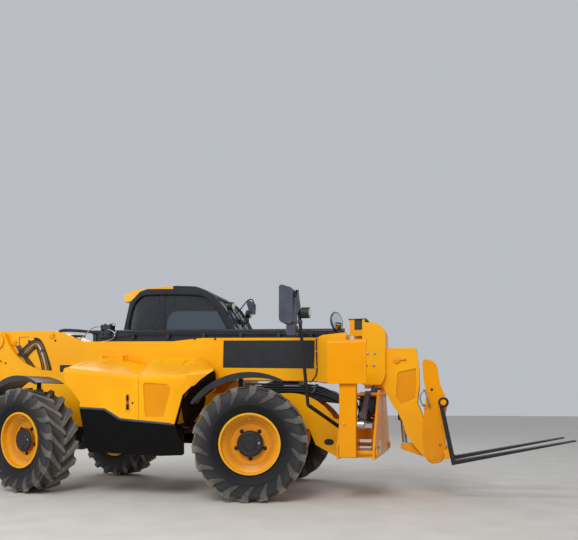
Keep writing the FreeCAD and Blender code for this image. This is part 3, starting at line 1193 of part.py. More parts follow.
def mirrors():
    foot = V(687, -900, 1046)
    top = V(563, -900, 2315)
    plate_x = CARRIER_REAR_X - SEAT_GAP
    flange = box(plate_x - 14, plate_x, -600, -520, 760, 840)
    post = joined(bar(foot, top, 17), bar(foot, V(plate_x - 18, -565, 800), 20), flange)
    housing = side_prism([(385, 2320), (392, 2352, 425, 2361), (517, 2330), (538, 2310, 545, 2270),
                          (540, 1975), (531, 1945, 506, 1931), (437, 1945), (397, 1965, 385, 2010)],
                         -1010, -790)
    small = side_prism([(460, 1905), (470, 1928, 490, 1933), (540, 1933), (560, 1925, 565, 1905),
                        (565, 1835), (557, 1813, 535, 1808), (485, 1808), (465, 1815, 460, 1835)],
                       -985, -845)
    blade = side_prism([(585, 2298), (562, 2160, 574, 2039), (604, 2090, 608, 2150)], -955, -925)
    # arms to the post: x, z, radius
    arms = [bar(V(x, -900, z), V(post_x, -900, z), radius)
            for x, z, post_x, radius in ((470, 2250, 568, 12), (530, 1870, 606, 10))]
    tab = bar(V(588, -900, 2150), V(588, -940, 2150), 9)
    clamp = bar(V(599, -900, 1945), V(596, -900, 1978), 27)
    return joined(post, housing, small, blade, tab, clamp, *arms)


def boom_pipe():
    """The dark hose tube along the boom's top, with its tray, clamps, valve block and round mirror."""
    y = BOOM_Y - 60
    z = BOOM_TOP_Z + 92
    front = BOOM_FRONT_X - 40
    parts = [bar(V(-2500, y, z), V(front, y, z), 32)]
    parts.append(box(-2400, front - 30, y - 42, y + 42, 1900, z - 16))
    for x in (-2450, -1100, -300, 500, front - 60):
        parts.append(box(x - 25, x + 25, y - 36, y + 36, 1900, z + 12))
    parts.append(box(-2345, -2200, y - 60, y + 60, 1900, z + 96))
    mirror = V(front - 90, y - 20, z + 115)
    parts.append(bar(V(front - 40, y - 20, z - 20), mirror, 11))
    parts.append(bar(mirror, mirror.add(V(-26, 12, -4)), 112))
    return level_boom(joined(*parts).cut(moved(outer_block(), 0, 0, SEAT_GAP)))


def lamps():
    """Work lamps on the cab and on the mirror post, and the tail lamps."""
    parts = []
    for y in (CAB_INNER_Y + 70, CAB_OUTER_Y - 130):
        foot = box(-700, -660, y, y + 60, 2260, 2330)
        shell = bar(V(-690, y + 30, 2390), V(-620, y + 30, 2378), 55)
        parts.append(joined(foot, shell).cut(side_prism(CAB_OUTLINE, 0, 1300)))
    for y in (BOOM_Y - 238 - 60, BOOM_Y + 238):
        parts.append(box(TOWER_REAR_X - 60 - SEAT_GAP, TOWER_REAR_X - SEAT_GAP, y, y + 60, 1380, 1560))
    parts.append(joined(bar(V(616, -900, 2060), V(700, -900, 2060), 60),
                        bar(V(606.5, -900, 2060), V(620, -900, 2060), 12)))
    return Part.makeCompound(parts)


def tow_hitch():
    x1 = TOWER_REAR_X - SEAT_GAP
    block = box(x1 - 120, x1, BOOM_Y - 110, BOOM_Y + 110, 980, 1240)
    jaw = box(x1 - 220, x1 - 115, BOOM_Y - 90, BOOM_Y + 90, 1000, 1150)
    slot = box(x1 - 221, x1 - 130, BOOM_Y - 91, BOOM_Y + 91, 1040, 1110)
    pin_x = TOWER_REAR_X - 175
    return joined(block, jaw).cut(slot).cut(bar(V(pin_x, BOOM_Y, 990), V(pin_x, BOOM_Y, 1160), 16))


def build():
    place_wheels()
    keep("axles", Part.makeCompound([axle(0.0), axle(-WHEELBASE)]))
    keep("chassis_frame", chassis_frame())
    keep("outriggers", outriggers())
    keep("front_carrier", front_carrier())
    engine_side()
    keep("side_skirts", Part.makeCompound([skirt(-1), skirt(1)]))
    cab_pieces()
    cab_inside()
    keep("tow_hitch", tow_hitch())
    keep("mirrors", mirrors())
    keep("lamps", lamps())
    keep("boom_pipe", boom_pipe())
    keep("boom_outer", boom_outer())
    keep("boom_middle", boom_middle())
    keep("boom_inner", boom_inner())
    keep("carriage", carriage())
    keep("forks", forks())
    base = V(LIFT_BASE_X, BOOM_Y, LIFT_BASE_Z)
    eye_level = V(LIFT_EYE_X, BOOM_Y, LIFT_EYE_Z)
    pivot = V(PIVOT_X, BOOM_Y, PIVOT_Z)
    turn = FreeCAD.Rotation(V(0, 1, 0), BOOM_SLOPE)
    eye = pivot.add(turn.multVec(eye_level.sub(pivot)))
    barrel, rod = ram(base, eye, LIFT_BARREL_R, LIFT_ROD_R, LIFT_PIN_R, LIFT_EYE_HALF,
                      V(0, 1, 0), 90.0, LIFT_NECK)
    keep("lift_ram_barrel", barrel)
    keep("lift_ram_rod", rod)
    barrel, rod = ram(V(TILT_BASE_X, BOOM_Y, TILT_BASE_Z), V(TILT_EYE_X, BOOM_Y, TILT_EYE_Z),
                      TILT_BARREL_R, TILT_ROD_R, TILT_PIN_R, TILT_EYE_HALF, V(0, 1, 0), 60.0,
                      TILT_NECK, TILT_RETRACT)
    keep("tilt_ram_barrel", barrel)
    keep("tilt_ram_rod", rod)
    # side, leg x, ram x
    for side, leg_x, ram_x in (("right", LEG_X_RIGHT, RAM_X_RIGHT), ("left", LEG_X_LEFT, RAM_X_LEFT)):
        barrel, rod = stabiliser_ram(ram_x)
        group = {"stabiliser_leg_": stabiliser_leg(leg_x, ram_x), "stabiliser_foot_": stabiliser_foot(leg_x),
                 "stabiliser_ram_barrel_": barrel, "stabiliser_ram_rod_": rod}
        for name, shape in group.items():
            keep(name + side, shape if side == "right" else mirrored(shape))


def write():
    os.makedirs("parts", exist_ok=True)
    for name, shape in pieces.items():
        moved(shape, ORIGIN_SHIFT_X, 0, TYRE_R - AXLE_Z).exportStep("parts/" + name + ".step")


build()
write()
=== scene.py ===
import math

import bmesh
import bpy
from mathutils import Matrix, Vector


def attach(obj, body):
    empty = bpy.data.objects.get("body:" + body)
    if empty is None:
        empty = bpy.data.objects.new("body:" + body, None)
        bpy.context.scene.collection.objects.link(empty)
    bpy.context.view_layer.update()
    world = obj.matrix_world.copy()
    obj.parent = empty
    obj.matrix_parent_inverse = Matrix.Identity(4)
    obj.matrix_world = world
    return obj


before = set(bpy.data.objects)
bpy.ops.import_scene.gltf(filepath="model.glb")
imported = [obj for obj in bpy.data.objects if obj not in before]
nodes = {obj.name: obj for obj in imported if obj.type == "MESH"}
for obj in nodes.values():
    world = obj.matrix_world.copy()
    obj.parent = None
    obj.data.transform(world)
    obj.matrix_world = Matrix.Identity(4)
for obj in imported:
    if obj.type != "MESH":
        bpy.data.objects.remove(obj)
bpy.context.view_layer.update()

# Places are given in millimetres, as a maker would measure them: x forward from the front axle,
# y to the machine's left, z up with the axle at 620. Meshes are in metres in the part's frame.
ORIGIN_FROM_AXLE = 420.0
GROUND_RISE = 20.0
WHEELBASE = 2750.0
KINGPIN_Y = 720.0
AXLE_Z = 620.0
STEER = {"front": 12.0, "rear": -15.0}     # degrees to the left at which the wheels stand
TYRE_MIDDLE = 255.0      # distances outward from the kingpin
DISC_FACE = 309.0
HUB_END = 354.5
LUGS = 18                # in each of a tyre's two rows
RING_PITCH = 0.013       # metres between the rings on a tyre's bead
DUST_FROM = 0.3          # heights in metres between which the dust on the paint thins out
DUST_TO = 1.1
BOOM_RIGHT = -230.0      # sides of the boom
BOOM_LEFT = 130.0
PIVOT_X = -3900.0        # pivot of the boom
PIVOT_Z = 1940.0
POD_SIDE = -1100.0
CAB_MIDDLE = 677.5
MIRROR_Y = -900.0
CARRIAGE_SIDES = ((-205, -1), (105, 1))    # and which way each looks


def at(x, y, z):
    """A place in the part's frame."""
    return Vector(((x + ORIGIN_FROM_AXLE) / 1000, y / 1000, (z + GROUND_RISE) / 1000))


def mm(*values):
    """Millimetres in metres: one length, or a way along x, y and z."""
    return Vector(values) / 1000 if len(values) > 1 else values[0] / 1000


# Turns what is given along a level boom to the slope at which it stands, about its pivot.
BOOM_DOWN = (Matrix.Translation(at(PIVOT_X, 0, PIVOT_Z)) @ Matrix.Rotation(math.radians(1.5), 4, "Y")
             @ Matrix.Translation(-at(PIVOT_X, 0, PIVOT_Z)))


# Materials

def srgb(code):
    """A hex colour as linear red, green, blue and alpha."""
    out = []
    for i in (0, 2, 4):
        c = int(code[i:i + 2], 16) / 255
        out.append(c / 12.92 if c <= 0.04045 else ((c + 0.055) / 1.055) ** 2.4)
    return (*out, 1.0)


def join(tree, node, links):
    """Links or sets a node's inputs. A node among the links stands for its first output."""
    for key, value in links.items():
        if isinstance(value, bpy.types.Node):
            value = value.outputs[0]
        if isinstance(value, bpy.types.NodeSocket):
            tree.links.new(value, node.inputs[key])
        else:
            node.inputs[key].default_value = value


def add(tree, kind, links=None, stops=(), **settings):
    """Adds a node: settings are its properties, links its inputs, stops a ramp's places and tones."""
    made = tree.nodes.new(kind)
    for key, value in settings.items():
        setattr(made, key, value)
    join(tree, made, links or {})
    if stops:
        while len(made.color_ramp.elements) < len(stops):
            made.color_ramp.elements.new(0.5)
        for element, (position, tone) in zip(made.color_ramp.elements, stops):
            element.position = position
            element.color = srgb(tone) if isinstance(tone, str) else (tone, tone, tone, 1.0)
    return made


def begin(name):
    """A new material, its node tree, its shader and the place of each point in the part's frame."""
    made = bpy.data.materials.new(name)
    made.use_nodes = True
    tree = made.node_tree
    tree.nodes.clear()
    shader = add(tree, "ShaderNodeBsdfPrincipled")
    add(tree, "ShaderNodeOutputMaterial", {"Surface": shader})
    return made, tree, shader, add(tree, "ShaderNodeTexCoord").outputs["Object"]


def every(size):
    """The scale of a pattern whose details are that many millimetres across."""
    return 1000.0 / size


def bands(width):
    """The scale of a wave whose bands are that many millimetres wide."""
    return every(width) / 20 * math.pi


def clouds(tree, place, size, stops, detail=4.0, rough=0.5):
    """Noise with clouds that many millimetres across, run from one tone or value to the next."""
    noise = add(tree, "ShaderNodeTexNoise", {
        "Vector": place, "Scale": every(size), "Detail": detail, "Roughness": rough})
    return add(tree, "ShaderNodeValToRGB", {"Fac": noise}, stops)


def grained(tree, place, size, depth, normal, detail=2.0):
    """The normal, roughened by grains that many millimetres across and metres deep."""
    grain = add(tree, "ShaderNodeTexNoise", {"Vector": place, "Scale": every(size), "Detail": detail})
    return add(tree, "ShaderNodeBump", {"Height": grain, "Distance": depth, "Normal": normal})


def worn_and_highlit_edges(tree, reach, stops):
    """The normal with its edges rounded over so many metres, and how much each edge is paled, partly by wear and
    partly by a painted highlight.
    """
    soft = add(tree, "ShaderNodeBevel", {"Radius": reach}, samples=4)
    flat = add(tree, "ShaderNodeNewGeometry").outputs["Normal"]
    meet = add(tree, "ShaderNodeVectorMath", {0: soft, 1: flat}, operation="DOT_PRODUCT").outputs["Value"]
    return soft, add(tree, "ShaderNodeValToRGB", {"Fac": meet}, stops)


def wheel_centre(end, side):
    """Where a wheel's kingpin stands at axle height, and how far the wheel is turned."""
    axle_x = 0.0 if end == "front" else -WHEELBASE
    return at(axle_x, -KINGPIN_Y if side == "right" else KINGPIN_Y, AXLE_Z), math.radians(STEER[end])


def from_axle(tree, place, end, side):
    """The distance of each point from the axle of its wheel."""
    centre, steer = wheel_centre(end, side)
    local = add(tree, "ShaderNodeMapping", {"Vector": place, "Location": centre, "Rotation": (0, 0, steer)},
                vector_type="TEXTURE")
    disc = add(tree, "ShaderNodeVectorMath", {0: local, 1: (1.0, 0.0, 1.0)}, operation="MULTIPLY")
    return add(tree, "ShaderNodeVectorMath", {0: disc}, operation="LENGTH").outputs["Value"]


def enamel(name, light, deep, edge, dust=0.25, gloss=(0.26, 0.38), grime="A98A5A", shine=0.22):
    """Two-pack enamel sprayed on steel plate. The eye sees an even coat that clouds a little from panel to panel
    (600 mm), a fine orange peel in the highlights (4 mm, coarser than life so that it shows), paler edges that
    are partly wear and partly a painted highlight, and site dust that thins out with height."""
    made, tree, shader, place = begin(name)
    tone = clouds(tree, place, 600, [(0.35, deep), (0.65, light)])
    height = add(tree, "ShaderNodeSeparateXYZ", {0: place}).outputs["Z"]
    low = add(tree, "ShaderNodeMapRange", {
        "Value": height, "From Min": DUST_FROM, "From Max": DUST_TO, "To Min": dust, "To Max": 0.0})
    blown = add(tree, "ShaderNodeTexNoise", {"Vector": place, "Scale": every(150), "Detail": 7.0,
                                             "Roughness": 0.65})
    thick = add(tree, "ShaderNodeMath", {0: low, 1: blown}, operation="MULTIPLY")
    dusty = add(tree, "ShaderNodeMix", {0: thick, 6: tone, 7: srgb(grime)}, data_type="RGBA").outputs[2]
    # edges are paled toward the edge colour: partly wear, partly a painted highlight
    soft, worn_and_highlit = worn_and_highlit_edges(tree, 0.005, [(0.8, 0.7), (0.97, 0.0)])
    colour = add(tree, "ShaderNodeMix", {0: worn_and_highlit, 6: dusty, 7: srgb(edge)}, data_type="RGBA").outputs[2]
    rough = clouds(tree, place, 110, [(0.3, gloss[0]), (0.7, gloss[1])], detail=5.0)
    peel = grained(tree, place, 4, 0.0001, soft)
    join(tree, shader, {"Base Color": colour, "Roughness": rough, "Normal": peel, "Specular IOR Level": shine})
    return made


def tyre_rubber(name, end, side, rub=((0.45, 0.0), (0.59, 0.12), (0.632, 0.9))):
    """Carbon-black rubber, moulded. The bead and the lower sidewall stay near black with fine rings, the lugs'
    edges turn pale blue-grey, partly from scuffing and partly as a painted highlight, and dust has rubbed pale
    brown into the tread."""
    made, tree, shader, place = begin("%s %s %s" % (name, end, side))
    radius = from_axle(tree, place, end, side)
    wall = add(tree, "ShaderNodeValToRGB", {"Fac": radius}, [
        (0.40, "0D0E12"), (0.46, "17181D"), (0.56, "24262D"), (0.62, "3A3B40")])
    paler_mask = add(tree, "ShaderNodeValToRGB", {"Fac": radius}, rub)
    broken = clouds(tree, place, 90, [(0.36, 0.45), (0.62, 1.0)], detail=8.0, rough=0.7)
    dust = add(tree, "ShaderNodeMath", {0: paler_mask, 1: broken}, operation="MULTIPLY")
    dusty = add(tree, "ShaderNodeMix", {0: dust, 6: wall, 7: srgb("948A7D")}, data_type="RGBA").outputs[2]
    # edges paled toward 9C9890: partly scuffing, partly a painted highlight
    soft, scuffed_and_highlit = worn_and_highlit_edges(tree, 0.006, [(0.75, 0.5), (0.97, 0.0)])
    colour = add(tree, "ShaderNodeMix", {0: scuffed_and_highlit, 6: dusty, 7: srgb("9C9890")},
                 data_type="RGBA").outputs[2]
    rings = add(tree, "ShaderNodeMath", {0: radius, 1: 2 * math.pi / RING_PITCH}, operation="MULTIPLY")
    wave = add(tree, "ShaderNodeMath", {0: rings}, operation="SINE")
    inner = add(tree, "ShaderNodeValToRGB", {"Fac": radius}, [(0.41, 1.0), (0.45, 0.0)])
    ribbed = add(tree, "ShaderNodeMath", {0: wave, 1: inner}, operation="MULTIPLY")
    ringed = add(tree, "ShaderNodeBump", {"Height": ribbed, "Distance": 0.0012, "Normal": soft})
    grain = grained(tree, place, 5, 0.0008, ringed, detail=4.0)
    join(tree, shader, {"Base Color": colour, "Roughness": 0.62, "Normal": grain, "Specular IOR Level": 0.35})
    return made


def rim_enamel(name, end, side):
    """Enamel on a pressed steel wheel, with its hub painted black. The eye sees a warmer yellow than the body's,
    painted shade darkening the dish with a darker painted shadow ring at its step, brake and road dust lying in
    the dish, and a paler painted highlight on the flange."""
    made, tree, shader, place = begin("%s %s %s" % (name, end, side))
    radius = from_axle(tree, place, end, side)
    # by radius: black hub, then yellow darkened by painted shade in the dish, a painted shadow ring at the
    # dish's step, and a painted highlight toward the flange
    shaded_and_highlit_paint = add(tree, "ShaderNodeValToRGB", {"Fac": radius}, [
        (0.1475, "0E0E10"), (0.1480, "DC8C06"), (0.225, "E49408"), (0.240, "C97C04"), (0.30, "EA9C0A"),
        (0.334, "F8B21A")])
    dust = clouds(tree, place, 60, [(0.45, 0.0), (0.75, 0.35)], detail=7.0, rough=0.7)
    colour = add(tree, "ShaderNodeMix", {0: dust, 6: shaded_and_highlit_paint, 7: srgb("9C7A3C")}, data_type="RGBA").outputs[2]
    soft = add(tree, "ShaderNodeBevel", {"Radius": 0.005}, samples=4)
    peel = grained(tree, place, 4, 0.0001, soft)
    join(tree, shader, {"Base Color": colour, "Roughness": 0.36, "Normal": peel, "Specular IOR Level": 0.25})
    return made


def moulded(name, light, deep, rough=0.5, grain=3.0, edge=None, shine=0.35):
    """Injection-moulded or rubber-like plastic. The eye sees a leather-like grain in the highlights,
    soft moulded corners and a slightly bleached patchiness (120 mm)."""
    made, tree, shader, place = begin(name)
    tone = clouds(tree, place, 120, [(0.3, deep), (0.7, light)])
    # edges are paled toward the edge colour: partly wear, partly a painted highlight
    soft, paler_mask = worn_and_highlit_edges(tree, 0.005, [(0.8, 0.5), (0.97, 0.0)])
    colour = add(tree, "ShaderNodeMix", {0: paler_mask, 6: tone, 7: srgb(edge or light)},
                 data_type="RGBA").outputs[2]
    leather = add(tree, "ShaderNodeTexVoronoi", {"Vector": place, "Scale": every(grain)})
    bump = add(tree, "ShaderNodeBump", {"Height": leather, "Distance": 0.00015, "Normal": soft})
    patch = add(tree, "ShaderNodeTexNoise", {"Vector": place, "Scale": every(70), "Detail": 4.0})
    gloss = add(tree, "ShaderNodeMapRange", {"Value": patch, "To Min": rough - 0.08, "To Max": rough + 0.08})
    join(tree, shader, {"Base Color": colour, "Roughness": gloss, "Normal": bump, "Specular IOR Level": shine})
    return made


def bare_metal(name, colour, rough, stain="6E675C", spots=0.5):
    """Plated or forged metal without paint. The eye sees bright reflections broken by handling marks
    (25 mm) and, where it is old, duller spots."""
    made, tree, shader, place = begin(name)
    marks = add(tree, "ShaderNodeTexNoise", {"Vector": place, "Scale": every(25), "Detail": 6.0})
    gloss = add(tree, "ShaderNodeMapRange", {"Value": marks, "To Min": rough * 0.6, "To Max": rough * 1.5})
    spot = add(tree, "ShaderNodeValToRGB", {"Fac": marks}, [(0.5, 0.0), (0.75, spots)])
    tone = add(tree, "ShaderNodeMix", {0: spot, 6: srgb(colour), 7: srgb(stain)}, data_type="RGBA").outputs[2]
    soft = add(tree, "ShaderNodeBevel", {"Radius": 0.002}, samples=4)
    join(tree, shader, {"Base Color": tone, "Metallic": 1.0, "Roughness": gloss, "Normal": soft})
    return made


def tinted_glass(name, colour):
    """Toughened float glass, grey-tinted in the melt. The eye sees the inside through it, darkened,
    with a clean reflection and a film of dust (200 mm clouds)."""
    made, tree, shader, place = begin(name)
    film = add(tree, "ShaderNodeTexNoise", {"Vector": place, "Scale": every(200), "Detail": 5.0})
    gloss = add(tree, "ShaderNodeMapRange", {"Value": film, "To Min": 0.02, "To Max": 0.12})
    join(tree, shader, {"Base Color": srgb(colour), "Roughness": gloss, "Transmission Weight": 0.94, "IOR": 1.4})
    return made


def lamp_lens(name, light, deep):
    """Moulded lens over a reflector. The eye sees vertical flutes, 9 mm wide, bright and dark by turns."""
    made, tree, shader, place = begin(name)
    flutes = add(tree, "ShaderNodeTexWave", {"Vector": place, "Scale": bands(9)},
                 bands_direction="Y").outputs["Fac"]
    tone = add(tree, "ShaderNodeValToRGB", {"Fac": flutes}, [(0.2, deep), (0.8, light)])
    ridge = add(tree, "ShaderNodeBump", {"Height": flutes, "Distance": 0.001})
    join(tree, shader, {"Base Color": tone, "Roughness": 0.14, "Normal": ridge, "Coat Weight": 0.6, "Coat Roughness": 0.04})
    return made


def woven_cloth(name, light, deep):
    """Woven polyester seat cloth. The eye sees a matt weave, drawn at 6 mm so that it shows, with a
    sheen at grazing light and threads of two greys."""
    made, tree, shader, place = begin(name)
    weft, warp = (add(tree, "ShaderNodeTexWave", {"Vector": place, "Scale": bands(6)},
                      bands_direction=way).outputs["Fac"] for way in "YZ")
    weave = add(tree, "ShaderNodeMath", {0: weft, 1: warp}, operation="MULTIPLY")
    tone = add(tree, "ShaderNodeValToRGB", {"Fac": weave}, [(0.1, deep), (0.8, light)])
    bump = add(tree, "ShaderNodeBump", {"Height": weave, "Distance": 0.0008})
    join(tree, shader, {"Base Color": tone, "Roughness": 0.9, "Normal": bump, "Sheen Weight": 0.4, "Sheen Roughness": 0.4})
    return made


# The third colour of each enamel is its edge colour: partly wear, partly a painted highlight.
YELLOW = enamel("yellow two-pack enamel", "FDB303", "F9A902", "FFCB3A")
# darker copy of the body yellow: painted shade on small brackets and pins
YELLOW_SHADE = enamel("yellow enamel with painted shade for small brackets", "F6A803", "EE9C02", "FFC532", dust=0.4)
# darker copy of the body yellow: painted shade on the front end, stabilisers and carriage
SHADED_FRONT_YELLOW = enamel("yellow enamel with painted shade for the front end", "F7A002", "EE9702", "FFC02A", shine=0.12)
# darker copy of the body yellow: painted shade in sunk panels
SHADED_RECESS_YELLOW = enamel("yellow enamel with painted shade for sunk panels", "EC9802", "E28E01", "F6AC14")
BLACK_STEEL = enamel("satin black enamel", "24252A", "191A1D", "4A4C54", gloss=(0.34, 0.5), grime="6F6555",
                     shine=0.5)
FENDER_BLACK = enamel("satin black wheel cover enamel", "262830", "1C1E25", "5E6372", dust=0.0,
                      gloss=(0.28, 0.4), shine=0.5)
CAB_BLACK = enamel("black cab enamel", "1F2129", "17191F", "50535F", dust=0.0, gloss=(0.38, 0.48), shine=0.35)
RAM_GREY = enamel("slate grey ram enamel", "3D4558", "333A4A", "636C80", dust=0.0, gloss=(0.3, 0.42),
                  shine=0.5)
FORK_BLACK = enamel("worn black fork enamel", "1A1A1D", "0C0C0E", "55534F", dust=0.1, gloss=(0.35, 0.5),
                    grime="5A5248", shine=0.5)
ENGINE_GREY = enamel("grey engine enamel", "4C4F55", "373A40", "70747C", dust=0.3, gloss=(0.4, 0.55),
                     grime="4A4034")
PANEL_BLACK = enamel("black vinyl panel", "1E1F23", "17181B", "2C2D33", dust=0.0, gloss=(0.3, 0.4), shine=0.5)
ROOF_YELLOW = enamel("yellow gel-coated roof", "FDBA1E", "F8B010", "FFD668", dust=0.0, gloss=(0.2, 0.3),
                     shine=0.5)
# The edge colours of the moulded finishes are partly wear, partly a painted highlight.
SKIRT_BLACK = moulded("textured black polyethylene", "0D0B0B", "080707", rough=0.6, edge="3C3E46", shine=0.1)
# grey painted highlight along the skirt's rolled top bead
SKIRT_BEAD_HIGHLIGHT = moulded("moulded edge with painted highlight", "4B505E", "3D414D", rough=0.36, edge="6C7282")
MIRROR_BLACK = moulded("dark grey moulded mirror shell", "4A4E5C", "3C404C", rough=0.36, edge="62677A")
TRIM_GREY = moulded("dark grey cab trim", "2B2C31", "1E1F23", edge="3E4047")
TUBE_BLACK = moulded("black hose tube", "2A2D36", "1E2027", rough=0.3, edge="4A4F5C")
HOSE_BLACK = moulded("black hydraulic hose", "1F2126", "131417", rough=0.4)
HOSE_BROWN = moulded("braided brown hose sleeve", "6E5A3E", "4A3C2A", rough=0.6, grain=6.0)
SEAL_BLACK = moulded("black window rubber", "151518", "0E0E10", rough=0.45)
CHROME = bare_metal("hard-chromed rod", "B4B7BD", 0.3, spots=0.15)
ZINC = bare_metal("zinc-plated steel", "B9B6AD", 0.32, stain="8A7C5E")
SILVER_HOSE = bare_metal("steel-braided hose", "B4B8C0", 0.3)
MIRROR_GLASS = bare_metal("silvered mirror glass", "DDE2E8", 0.03, spots=0.0)
DARK_BOLT = bare_metal("black-oxide bolt", "3A3A3E", 0.4, stain="221E1A")
GLASS = tinted_glass("grey-tinted toughened glass", "98A0A8")
LENS_CLEAR = lamp_lens("clear fluted lens", "F4EFD8", "C9C0A2")
LENS_RED = lamp_lens("red tail lens", "B3121A", "7C0A10")
LENS_AMBER = lamp_lens("amber indicator lens", "E98A12", "B5620A")
PLATE_WHITE = enamel("blank white reflective plate", "E9E7E1", "DEDBD4", "F4F2EE", gloss=(0.3, 0.4))
SEAT_CLOTH = woven_cloth("woven polyester seat cloth", "3C3E46", "232429")


def coat(finish, *names):
    """Gives CAD nodes their finish."""
    for name in names:
        nodes[name].data.materials.clear()
        nodes[name].data.materials.append(finish)


coat(YELLOW, "chassis_frame", "engine_pod", "bonnet", "cab_base", "boom_outer", "boom_middle", "boom_inner")
coat(SHADED_FRONT_YELLOW, "front_carrier", "carriage")
coat(ROOF_YELLOW, "cab_roof")
coat(BLACK_STEEL, "axles", "outriggers", "tow_hitch")
coat(CAB_BLACK, "cab_frame", "cab_door")
coat(ENGINE_GREY, "engine_block")
coat(SKIRT_BLACK, "side_skirts")
coat(TRIM_GREY, "air_duct", "cab_interior", "lamps")
coat(MIRROR_BLACK, "mirrors")
coat(TUBE_BLACK, "boom_pipe")
coat(FORK_BLACK, "forks")
coat(GLASS, "cab_glass", "cab_door_glass")
coat(RAM_GREY, "lift_ram_barrel", "tilt_ram_barrel")
coat(CHROME, "lift_ram_rod", "tilt_ram_rod")
for side in ("right", "left"):
    coat(SHADED_FRONT_YELLOW, "stabiliser_leg_" + side, "stabiliser_foot_" + side)
    coat(RAM_GREY, "stabiliser_ram_barrel_" + side)
    coat(CHROME, "stabiliser_ram_rod_" + side)
    for end in ("front", "rear"):
        tail = "%s_%s" % (end, side)
        coat(tyre_rubber("dusty tyre rubber", end, side), "tyre_" + tail)
        coat(rim_enamel("wheel enamel", end, side), "rim_" + tail)
        coat(FENDER_BLACK, "knuckle_" + tail)


# Ways of shaping

def drum(shape, start, end, radius, tip=None, sides=24):
    """A round bar between two places, or a cone where the tip's radius differs."""
    way = end - start
    place = Matrix.Translation((start + end) / 2) @ way.to_track_quat("Z", "Y").to_matrix().to_4x4()
    bmesh.ops.create_cone(shape, cap_ends=True, segments=sides, radius1=mm(radius), depth=way.length,
                          radius2=mm(radius if tip is None else tip), matrix=place)


def slab(shape, corner, other):
    """A block between any two opposite corners."""
    size = [abs(length) for length in other - corner]
    place = Matrix.Translation((corner + other) / 2) @ Matrix.Diagonal((*size, 1.0))
    return bmesh.ops.create_cube(shape, size=1.0, matrix=place)["verts"]


def points_of(geom):
    """The points among what an operator made."""
    return [v for v in geom if isinstance(v, bmesh.types.BMVert)]


def thicken(shape, corners, way):
    """A flat outline of places, grown along a way."""
    face = shape.faces.new([shape.verts.new(spot) for spot in corners])
    grown = bmesh.ops.extrude_face_region(shape, geom=[face])["geom"]
    bmesh.ops.translate(shape, verts=points_of(grown), vec=way)


def plate(shape, outline, y0, y1):
    """An outline in x and z, as thick as the way from y0 to y1."""
    thicken(shape, [at(x, y0, z) for x, z in outline], (0, mm(y1 - y0), 0))


def spun(shape, profile, sides=48):
    """A profile of distance outward and radius, turned about the Z axis."""
    points = [shape.verts.new(mm(radius, 0.0, along)) for along, radius in profile]
    edges = [shape.edges.new(pair) for pair in zip(points, points[1:])]
    bmesh.ops.spin(shape, geom=points + edges, axis=(0, 0, 1), cent=(0, 0, 0), angle=2 * math.pi,
                   steps=sides, use_merge=True)


def turn_round(shape, verts, degrees, axis="Z"):
    """Turns points about an axis through the shape's origin."""
    turn = Matrix.Rotation(math.radians(degrees), 3, axis)
    bmesh.ops.rotate(shape, verts=verts, cent=(0, 0, 0), matrix=turn)


def bolt(shape, spot, way, size, nut=False):
    """A hexagon head on its washer, or a nut with the stud's end showing."""
    out = Vector(way).normalized()
    drum(shape, spot, spot + out * mm(size * 0.18), size * 1.1, sides=20)
    drum(shape, spot, spot + out * mm(size * 0.85), size * 0.92, sides=6)
    if nut:
        drum(shape, spot, spot + out * mm(size * 1.3), size * 0.5, sides=12)


def stand(name, data):
    """An object of that mesh, curve, lamp or camera, in the scene."""
    made = bpy.data.objects.new(name, data)
    bpy.context.scene.collection.objects.link(made)
    return made


def riding(name, data, finish, body):
    """A piece of that finish that rides on a body."""
    data.materials.append(finish)
    piece = stand(name, data)
    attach(piece, body)
    return piece


def done(name, shape, finish, body="chassis", place=Matrix(), bevel=0.0, sharp=35):
    """Puts a shape in its place, welds it and makes it a piece, with its edges rounded."""
    bmesh.ops.transform(shape, matrix=place, verts=shape.verts)
    bmesh.ops.remove_doubles(shape, verts=shape.verts, dist=0.00001)
    bmesh.ops.recalc_face_normals(shape, faces=shape.faces)
    mesh = bpy.data.meshes.new(name)
    shape.to_mesh(mesh)
    shape.free()
    mesh.polygons.foreach_set("use_smooth", [True] * len(mesh.polygons))
    mesh.set_sharp_from_angle(angle=math.radians(sharp))
    piece = riding(name, mesh, finish, body)
    if bevel:
        round_off = piece.modifiers.new("edges", "BEVEL")
        round_off.width = mm(bevel)
        round_off.segments = 2
        round_off.limit_method = "ANGLE"
        round_off.angle_limit = math.radians(40)
    return piece


def hoses(name, routes, radius, body, finish=HOSE_BLACK, place=Matrix(), closed=False):
    """Hoses, pipes or cables that are clipped along their way: one smooth run for each route, which
    is a list of places in millimetres."""
    curve = bpy.data.curves.new(name, "CURVE")
    curve.dimensions = "3D"
    curve.bevel_depth = mm(radius)
    curve.bevel_resolution = 3
    curve.use_fill_caps = True
    curve.resolution_u = 8
    for route in routes:
        spline = curve.splines.new("NURBS")
        spline.points.add(len(route) - 1)
        for point, spot in zip(spline.points, route):
            point.co = (*(place @ at(*spot)), 1.0)
        spline.order_u = 3
        spline.use_endpoint_u = not closed
        spline.use_cyclic_u = closed
    riding(name, curve, finish, body)


# Wheels, each built about its axle with Z outward and Y up

